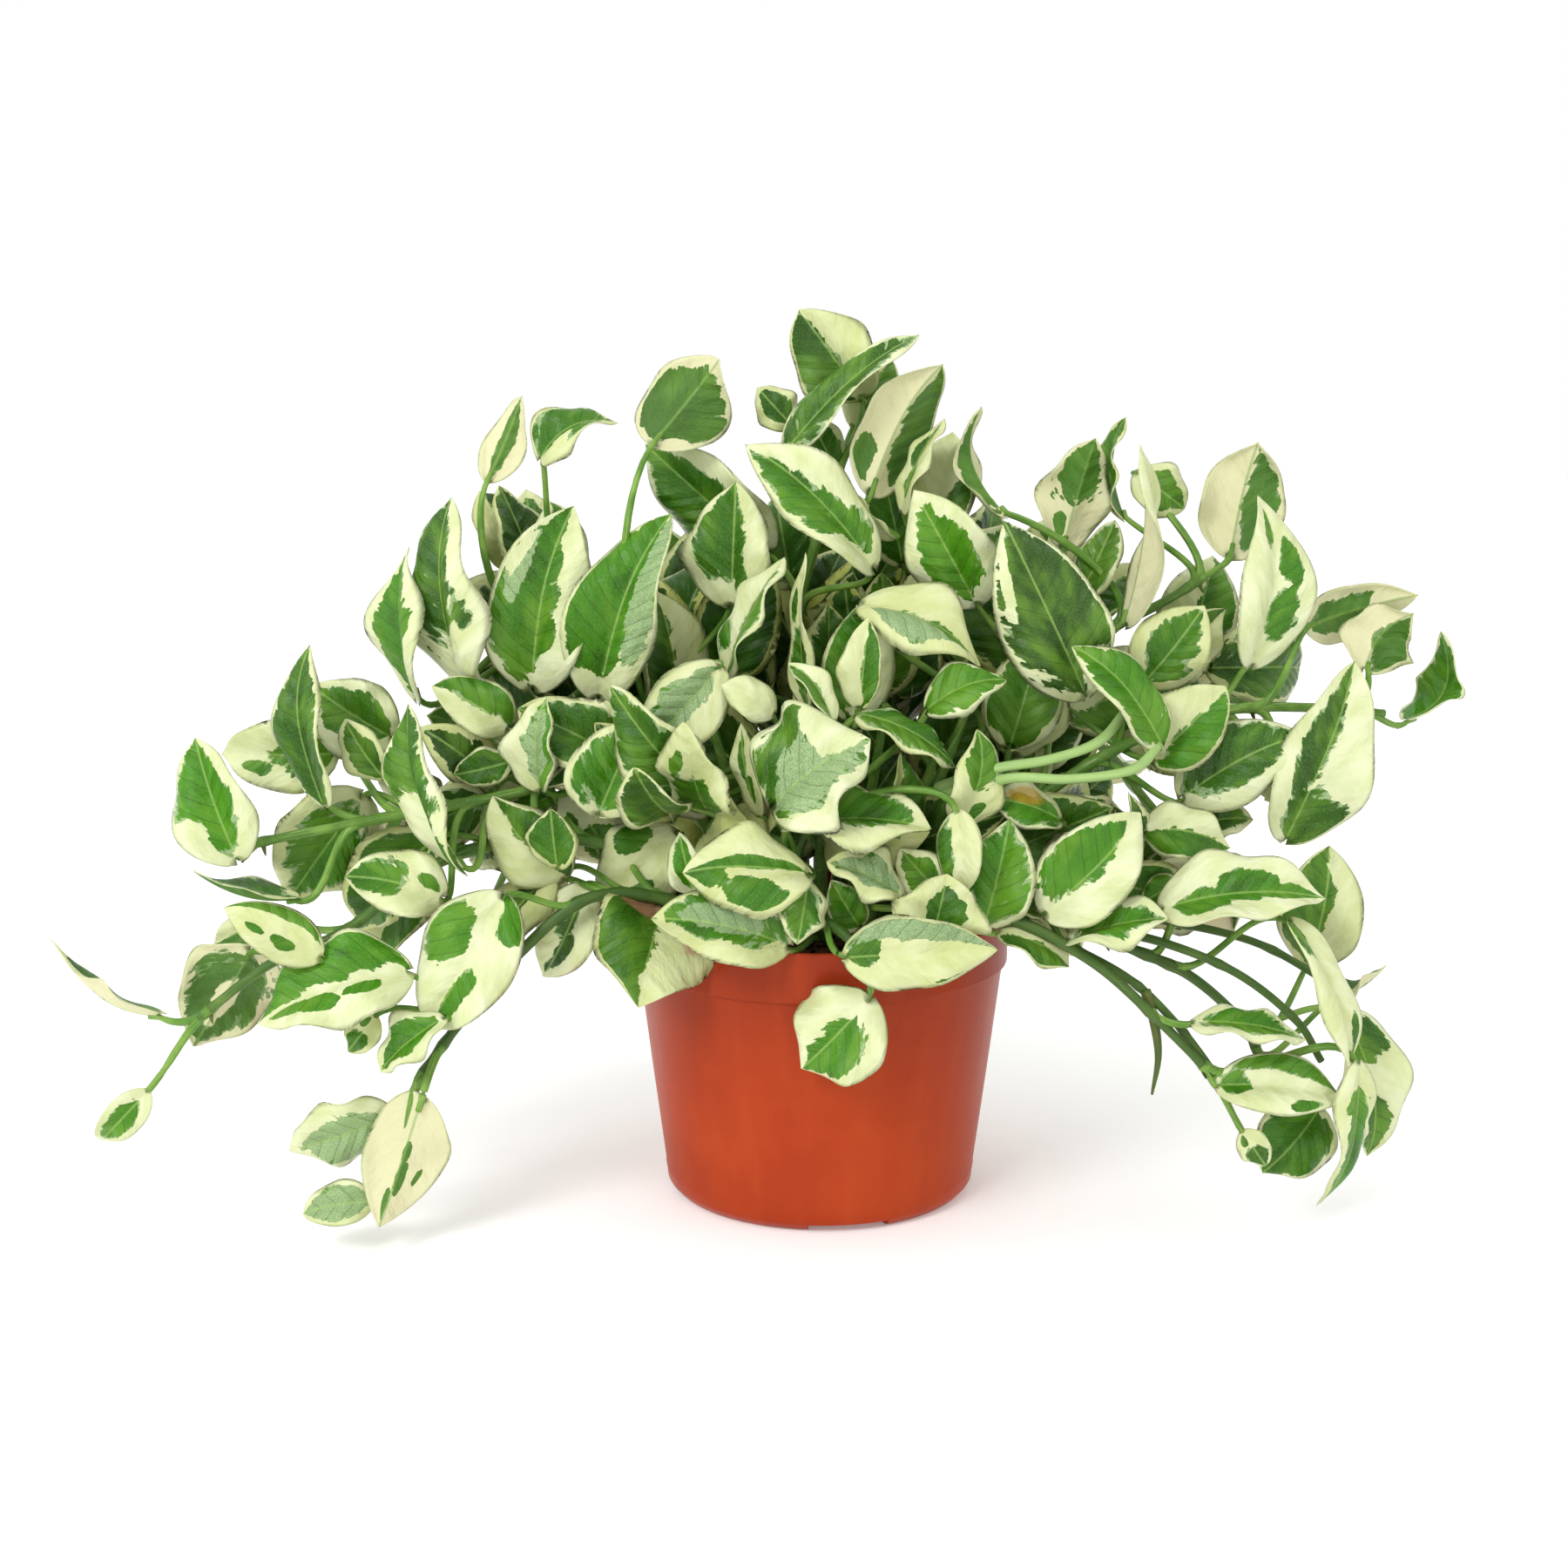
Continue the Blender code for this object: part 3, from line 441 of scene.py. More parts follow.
# ---------------------------------------------------------------------------------------
# Leaf blades: thin glossy ovals with a drawn-out tip, folded along a midrib that stands
# proud below.  Irregular toothed islands of green and grey-green lie on cream.
BLADE_THICKNESS, WIDEST_PLACE = 0.00045, 0.39
leaf_look = look = Nodes("leaf_green", 0.36, 0.22)
vein = look.named("vein")
green_value, grey_value, spot_value = look.parts(look.named("islands"))
# The third part of the kind is a painted shade: it darkens the green and makes the cream yellower, most for
# leaves deep in the crown.
under, tone_value, painted_shade_value = look.parts(look.named("kind"))
teeth = look.noise(vein, (4.6, 2.8, 9.0), 3.0, 0.55)
fringe = look.noise(vein, (13, 8, 9.0), 2.0, 0.6)
broad = look.noise(vein, (1.4, 1.2, 7.0), 2.0, 0.5)
ragged = look.plus(look.times(teeth, 0.44), look.times(fringe, 0.10))
ragged = look.plus(ragged, look.times(broad, 0.92))
green_edge = look.plus(green_value, look.math("SUBTRACT", ragged, 0.73))
green = look.ramp(green_edge, -0.012, 0.012)
patch = look.noise(vein, (2.8, 1.2, 23.0), 4.0, 0.65)
near_edge = look.ramp(green_edge, 0.0, 0.30, 0.14, -0.10)
grey_edge = look.plus(grey_value, look.math("SUBTRACT", patch, 0.5))
grey = look.ramp(look.plus(grey_edge, near_edge), -0.03, 0.03)
dapple = look.noise(vein, (0.9, 0.9, 5.0), 3.0)
cloud = look.noise(vein, (0.5, 0.7, 3.0), 2.0)
speck = look.noise(vein, (24, 24, 3.0), 3.0, 0.75)
along, across, _ = look.parts(vein)
row = look.math("PINGPONG", look.plus(along, look.times(dapple, 0.35)), 0.36)
line = look.ramp(row, 0.0, 0.055, 1.0, 0.0)
rib = look.ramp(look.math("ABSOLUTE", across), 0.02, 0.07, 1.0, 0.0)
leafy = look.mix(tone_value, rgb(24, 56, 14), rgb(62, 132, 1))
# Of these coats, the pale cloudy patches and the fine pale specks are painted sheen.
leafy = look.layers(
    leafy, (look.times(look.ramp(dapple, 0.38, 0.62, 0.0, 0.75), tone_value), (50, 112, 4)),
    ((cloud, 0.42, 0.68, 0.0, 0.55), (110, 156, 46)),
    ((cloud, 0.28, 0.42, 0.45, 0.0), (16, 46, 4)),
    ((speck, 0.46, 0.72, 0.0, 0.6), (122, 160, 62)))
silver = look.mix(look.ramp(speck, 0.4, 0.6), rgb(124, 156, 96), rgb(176, 196, 150))
# Here the painted shade darkens the green towards a deep green.
leafy = look.layers(
    look.mix(look.times(grey, 0.85), leafy, silver),
    (look.times(painted_shade_value, 0.55), (22, 52, 4)), (look.times(line, 0.40), (26, 62, 6)),
    (look.times(rib, 0.5), (150, 182, 92)))
# The painted shade makes the cream yellower and darker.
creamy = look.layers(
    rgb(198, 206, 150), ((dapple, 0.3, 0.7), (216, 221, 180)), (painted_shade_value, (170, 178, 82)))
bare = look.mix(look.times(rib, 0.6), rgb(212, 210, 168), rgb(124, 160, 84))
pale = look.mix(green, bare, look.mix(0.45, leafy, rgb(88, 126, 56)))
spot = look.times(spot_value, look.plus(teeth, speck))
look.to("Base Color", look.layers(
    look.mix(under, look.mix(green, creamy, leafy), pale),
    ((spot, 0.05, 0.45, 0.0, 0.7), (184, 142, 24)),
    ((spot, -0.30, -0.05, 0.75, 0.0), (182, 128, 100))))
look.to("Specular IOR Level", look.ramp(green, 0.0, 1.0, 0.16, 0.27))
gloss = look.ramp(dapple, 0.3, 0.7, 0.24, 0.38)
look.to("Roughness", look.plus(gloss, look.times(under, 0.2)))
quilt = look.times(row, look.ramp(green, 0.0, 1.0, 0.3, 0.95))
quilt = look.plus(quilt, look.times(dapple, 1.3))
quilted = look.bump(quilt, 0.8, 0.0021)
look.to("Normal", look.bump(speck, 0.40, 0.0003, quilted))


def half_width(t, width):
    """Half the blade's width: a round base up to the widest place, then a fall to a long tip."""
    below = np.clip(1 - t / WIDEST_PLACE, 0, 1)
    above = np.clip((t - WIDEST_PLACE) / (1 - WIDEST_PLACE), 0, 1)
    shape = (1 - below ** 2.2) ** 0.5 * (1 - above ** 2.0) ** 0.92
    return np.maximum(0.5 * width * shape, np.where(t < 0.5, 0.0010, 0.00012))


def island_field(t, s, marks, raising, ground):
    """Value of each point: 1 less its distance from an island's middle, in island sizes.

    Marks are taken in order: the raising colours lift the value inside their ovals and
    cream lowers it.  Away from all of them it is the ground value.
    """
    value = np.full(t.shape, float(ground))
    for colour, t0, s0, long, broad in marks:
        off = np.sqrt(((t - t0) / long) ** 2 + ((s - s0) / broad) ** 2)
        if colour in raising:
            value = np.maximum(value, 1 - off)
        elif colour == "cream":
            value = np.minimum(value, off - 1)
    return np.clip(value, -0.6, 0.6)


def grid_quads(number):
    """Quads between the points of a grid, from the grid of their numbers."""
    corners = [number[:-1, :-1], number[:-1, 1:], number[1:, 1:], number[1:, :-1]]
    return np.stack(corners, -1).reshape(-1, 4)


def blade(leaf, seed, rows, columns, start=0):
    """One closed blade as a grid of share t along the midrib and share s across it.

    A point is the midrib point, plus s half widths to the side, plus a fold that rises with
    |s|, less a curl that falls with s^2, plus a wave along the margin and a twist with t.
    """
    draw = np.random.default_rng(seed)
    length = np.linalg.norm(leaf["tip"] - leaf["base"])
    u = np.linspace(0, 1, rows)
    t = (0.55 * u + 0.45 * (0.5 - 0.5 * np.cos(math.pi * u)))[:, None]
    s = np.linspace(-1, 1, columns)
    s = (np.sign(s) * np.abs(s) ** 1.25)[None, :]
    mid, tangent, normal, side = leaf_frame(*(leaf[k] for k in ("base", "tip", "face", "arch")), t[:, 0])
    roll, twist = leaf.get("roll", draw.uniform(-24, 24)), leaf.get("twist", draw.uniform(-28, 28))
    twist = np.radians(roll + twist * (t - 0.4))
    turned = np.cos(twist) * side + np.sin(twist) * normal
    raised = np.cos(twist) * normal - np.sin(twist) * side
    half = half_width(t, leaf["width"]) * (1 + draw.uniform(-0.07, 0.07) * np.sign(s))
    fold = math.radians(leaf["fold"] + (draw.uniform(18, 38) if leaf["fold"] < 30 else 4))
    x = s * half
    soft = np.sqrt(x ** 2 + 0.0013 ** 2) - 0.0013
    waves, shift = draw.uniform(1.2, 2.3), draw.uniform(0, 6.28, 2)
    wave = np.abs(s) ** 2 * np.sin(2 * math.pi * waves * t + np.where(s > 0, shift[0], shift[1]))
    curl = leaf.get("curl", draw.uniform(0.30, 0.62))
    curl = curl * (1 + 0.5 * np.sin(3 * t + shift[0]) * np.sign(s))
    lift = (soft * math.sin(fold) - curl * half * np.abs(s) ** 2.5
            + leaf["width"] * draw.uniform(0.05, 0.13) * wave * np.sin(math.pi * np.clip(t, 0, 1)) ** 0.6)
    droop = leaf.get("droop", draw.uniform(-0.02, 0.15)) * length * np.clip(t - 0.45, 0, 1) ** 2 / 0.3
    mid = mid - droop * normal
    lobe = 0.09 * leaf["width"] * s ** 2 * np.exp(-t / 0.06)
    vein = length * t / CM - 0.8 * np.abs(x) / CM
    pucker = 0.00010 * np.sin(2 * math.pi * vein / 0.72)
    pucker = pucker * np.clip(1 - np.abs(s), 0, 1) ** 0.5 * np.abs(s) ** 0.5
    top = (mid[:, None] + (x * math.cos(0.5 * fold))[..., None] * turned[:, None]
           + (lift + pucker)[..., None] * raised[:, None] - lobe[..., None] * tangent[:, None])
    out = unit(np.cross(np.gradient(top, axis=1), np.gradient(top, axis=0)) + 1e-12)
    out *= np.sign((out * raised[:, None]).sum(-1, keepdims=True) + 1e-9)
    rib = 0.0006 * np.exp(-(x / 0.0008) ** 2) * (1 - t) ** 0.5
    low = top - (BLADE_THICKNESS + rib)[..., None] * out
    number = np.arange(rows * columns).reshape(rows, columns)
    inner = (rows - 2) * (columns - 2)
    below = number.copy()
    below[1:-1, 1:-1] = rows * columns + np.arange(inner).reshape(rows - 2, columns - 2)
    faces = np.vstack([grid_quads(number), grid_quads(below)[:, ::-1]])
    grid_t, grid_s = np.broadcast_to(t, x.shape), np.broadcast_to(s, x.shape)
    green = island_field(grid_t, grid_s, leaf["marks"], ("green", "grey"), -0.6)
    green -= 0.9 * np.clip((np.abs(grid_s) - 0.94) / 0.05, 0, 1)
    grey = island_field(grid_t, grid_s, leaf["marks"], ("grey",), draw.uniform(-0.26, -0.06))
    spots = [island_field(grid_t, grid_s, [m for m in leaf["marks"] if m[0] == sort], (sort,), 0)
             for sort in ("orange", "pink")]
    marks = np.stack([green, grey, spots[0] - spots[1]], -1)
    veins = np.stack([vein, x / CM, np.full(x.shape, seed * 0.37)], -1)
    kind = np.stack([np.zeros_like(x), np.full(x.shape, leaf["tone"]), np.full(x.shape, leaf["warm"])], -1)
    both = lambda a: np.vstack([a.reshape(-1, 3), a[1:-1, 1:-1].reshape(-1, 3)])
    kind = both(kind)
    kind[rows * columns:, 0] = 1
    return np.vstack([top.reshape(-1, 3), low[1:-1, 1:-1].reshape(-1, 3)]), faces + start, {
        "vein": both(veins), "islands": both(marks), "kind": kind}


def blades(name, seeded_leaves, grid):
    """Several blades, each a leaf and its seed, as one mesh object."""
    vertices, faces, numbers, start = [], [], [], 0
    for leaf, seed in seeded_leaves:
        v, f, n = blade(leaf, seed, *grid, start)
        vertices.append(v)
        faces += f.tolist()
        numbers.append(n)
        start += len(v)
    joined = {key: np.vstack([n[key] for n in numbers]) for key in numbers[0]}
    obj = put_mesh(name, np.vstack(vertices), faces, leaf_look.mat, joined)
    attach(obj, "root")
    return obj


# ---------------------------------------------------------------------------------------
# Large leaves: the 32 front ones that are separate parts, a row for each, and 12 more that
# stand by rule along the three stems at the back.
LARGE_GRID = (44, 25)
LEAVES = """
left_mid
-22.3 -7 15.3  -23.9 -6 19.7  F 3.5 12 10 95 0  g 55 -15 52 78, c 24 -75 16 42, c 78 80 30 30
-20.3 -6.4 13.6  -24 -6.6 14.8  U 2.6 40 -12 40 20  g 50 0 60 100
left_far
-25.7 -6.5 9  -29.6 -5.5 11.9  U 2.8 42 -20 40 20  g 45 40 45 45, c 60 -60 50 50
-22.3 -5.6 11.2  -24.7 -5.4 7.4  B 4.2 14 6 30 20  g 50 0 52 82, c 55 0 25 22
-25.9 -8 6.3  -28 -8 4.1  F 1.6 14 10 80 0  g 50 0 42 62
left_low
-15.8 -8 11.1  -21.3 -9 9.3  FU 3.6 10 14 90 0  g 55 55 60 48, g 58 -38 13 24, g 76 -30 14 22,
    g 28 -30 12 18
-12.2 -7.4 13.7  -15.2 -7.8 8.6  F 4 14 10 80 0  g 34 58 22 42, g 68 -22 22 24, g 10 -60 14 34; roll -8,
    twist 8
-15.3 -8.4 6.1  -17 -8.8 1.2  B 3.4 12 8 50 10  g 62 10 16 12, g 82 -12 12 12, g 44 4 10 8, g 60 48 8 8
left_mid
-13.8 -6.5 14.7  -16 -6.6 21.1  FL 3.6 20 8 35 0  g 70 0 48 96, c 30 -40 24 56, g 14 50 14 50
left_top
-14.4 -2 21.5  -15.1 -2.4 28.8  FFL 4.2 20 7 15 0  g 62 -22 42 84, g 42 66 12 18, c 76 100 40 44
-11.5 -2 21.2  -10 -2.4 28.5  FFL 4.2 18 7 55 0  g 52 -35 52 62, g 30 18 10 26, g 66 14 10 20,
    y 62 -60 20 22, c 70 -72 12 14
-8.8 -2.6 20.9  -6.2 -3 28.4  FFL 3.7 18 8 80 10  g 56 -30 50 76, y 62 55 40 40, c 4 -60 10 50
-6.6 -0.6 30.8  -3.8 -0.4 34.2  B 3.6 14 16 20 0  g 40 0 46 96, c 4 -70 14 36; foot -6.5 -0.8 19.2
top
-2.3 2.2 26.3  -7.3 2 30.7  F 4 10 8 50 0  g 50 -10 55 85, c 60 90 40 35
-1.4 0.2 30.4  3.8 0 35.2  FFUL 2.7 40 8 20 0  g 46 0 60 95, c 74 -90 14 30
2 0 28.9  4.6 0 34.1  BBL 4 24 8 40 0  g 58 -60 50 50, g 20 50 15 36; roll 0, twist 6
right_top
6.1 -1.4 24.5  3.6 -1.7 28.9  F 3.7 10 10 80 0  g 45 0 42 62
10.3 -3.2 21.1  7 -3.4 27.8  F 4.2 14 8 5 0  g 50 8 58 104, c 74 -62 24 14, c 10 60 12 40
12.2 -1 23.6  12.8 -1.2 30.7  R 3 48 5 50 10  cream
16.7 1 26.3  17.6 1 30.8  B 4 16 8 70 20  g 50 -45 46 42; roll 0, twist 10
right_mid
17.3 -1.2 22  18 -1.6 28.8  RF 3.4 32 6 60 0  g 30 30 16 35, g 62 40 12 30, g 80 -20 12 25
19.7 0 23.4  24.2 0.2 24.7  B 2.6 14 10 60 10  g 40 0 40 62, c 85 0 25 80
24.1 0.6 19.5  25.3 1 22.9  FLU 2.3 20 -52 70 0  g 50 0 65 100
18.7 -2.2 15.1  21.3 -2.6 22.3  F 3.8 10 6 15 0  g 62 -28 42 40, g 13 30 17 90, c 60 -96 50 14; roll -6,
    twist 8, curl 0.3
14.5 -2.4 16.8  19.1 -2.6 19.4  FU 3.4 8 10 20 0  g 50 -12 50 78, c 50 90 60 30
right_low
13 -6.9 13.3  19.1 -7.3 13.8  FU 3.6 10 12 70 0  g 22 20 18 42, g 52 -8 22 42, g 80 5 20 36; roll 0, twist 6
8.5 -7.2 13.2  12.2 -7.4 17.1  F 3.5 10 8 80 0  g 45 -40 40 55
17.7 -7.8 13  20.2 -8.4 6.6  RF 2.3 50 10 40 10  g 8 40 14 50, g 70 -60 12 20
right_front
15.1 -8.3 6.7  19.9 -8.6 6.2  FU 2.5 18 10 60 0  g 55 -70 45 32, g 10 0 12 60, g 66 72 14 22; roll 0,
    twist 5
right_low
20.5 -5.6 8.7  22 -5.8 2.8  FR 2.9 16 8 30 0  g 85 10 26 76, g 16 0 18 78, g 64 60 14 26; twist 6
front
-1.8 -6.8 17.4  1.7 -7.6 20  FU 5.2 10 8 25 0  g 45 0 60 110, y 46 15 50 70, c 74 -45 20 44,
    c 40 104 60 40; roll 0, twist 6
front_rim
1.6 -8.8 10.1  -0.9 -8.5 7.3  F 4 8 6 80 0  g 60 -22 42 52, c 35 75 45 55
"""
BACK_LEAF_LENGTH, BACK_LEAF_WIDTH, WIDENING = 6.6, 3.7, 1.03
USUAL_MARKS = {
    "centre": "g 48 0 46 66", "left": "g 52 -50 52 58", "right": "g 48 50 52 58",
    "full": "g 50 0 58 92", "islands": "g 30 12 18 28, g 62 -14 20 26, g 84 10 10 18",
    "cream": "", "tip": "g 74 0 36 74, g 16 30 12 22", "base": "g 24 0 28 62, g 66 -40 12 20",
}


def read_marks(text):
    """Marks of a blade: a name from USUAL_MARKS, or a letter and four hundredths for each mark.

    The letters are g green, y grey-green, c cream, and o orange and p pink spots of age.  The
    numbers are the place along and across the blade, and the size along and across it.
    """
    names = {"g": "green", "c": "cream", "y": "grey", "o": "orange", "p": "pink"}
    words = [mark.split() for mark in USUAL_MARKS.get(text, text).split(",") if mark.strip()]
    return [(names[w[0]], *(float(n) / 100 for n in w[1:])) for w in words]


def read_rows(table, count):
    """Rows of a table of leaves, under the stems that they grow on.

    A row is the base and the tip in centimetres, the sides that the upper face looks to, then
    count numbers (width, fold in degrees, and in hundredths the arch of the midrib and, for
    large leaves, the green's tone from bluish to bright and a painted shade that darkens the
    green and yellows the cream), then the marks.  After a semicolon come values that are
    otherwise drawn at random, or the place of the stalk's foot.  An indented line goes on
    with the row above it.
    """
    rows, stem = [], ""
    for line in table.strip().replace("\n    ", " ").split("\n"):
        if " " not in line:
            stem = line
            continue
        text, _, more = line.partition(";")
        *words, marks = text.split(None, 7 + count)
        base, tip = np.array(words[:6], float).reshape(2, 3)
        width, fold, *hundredths = map(float, words[7:])
        extras = {}
        for item in filter(None, more.split(",")):
            key, *numbers = item.split()
            extras[key] = float(numbers[0]) if len(numbers) == 1 else [float(n) for n in numbers]
        rows.append((stem, base, tip, facing(words[6]), width, fold,
                     *(n / 100 for n in hundredths), marks, extras))
    return rows


def back_rows(stem):
    """Four leaves set alternately along a stem that arches over the back of the pot."""
    route = smooth_route(STEMS[stem], 8)
    rows = []
    for k in range(4):
        at = int(len(route) * (0.34 + 0.62 * k / 3)) - 1
        along = unit(route[at] - route[at - 1])
        out = unit(np.array((along[0], along[1], 0)))
        side = np.cross(out, (0, 0, 1)) * (1 if k % 2 else -1)
        base = route[at] + 2.6 * side + 1.4 * out + UP * (2.2 - 0.5 * k)
        tip = base + BACK_LEAF_LENGTH * (1 - 0.08 * k) * unit(0.8 * side + 0.55 * out + UP * (0.5 - 0.42 * k))
        rows.append((stem, base, tip, unit(out + 0.3 * side + 0.7 * UP), BACK_LEAF_WIDTH * (1 - 0.07 * k),
                     12, 0.10, 0.3 + 0.15 * k, 0.1, ("full", "left", "centre", "right")[k], {}))
    return rows


def leaf_from(row):
    """A leaf in metres, by the names of its values, from a row in centimetres."""
    stem, base, tip, face, width, fold, arch, tone, warm, marks, extras = row
    return {"stem": stem, "base": base * CM, "tip": tip * CM, "face": face, "width": WIDENING * width * CM,
            "fold": fold, "arch": arch, "tone": tone, "warm": warm, "marks": read_marks(marks)} | extras


rows = read_rows(LEAVES, 5) + back_rows("back_left") + back_rows("back_mid") + back_rows("back_right")
large = [leaf_from(row) for row in rows]
for number, leaf in enumerate(large, 1):
    obj = blades(f"blade_{number:02d}", [(leaf, number)], LARGE_GRID)
    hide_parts(f"leaf_{number:02d}")
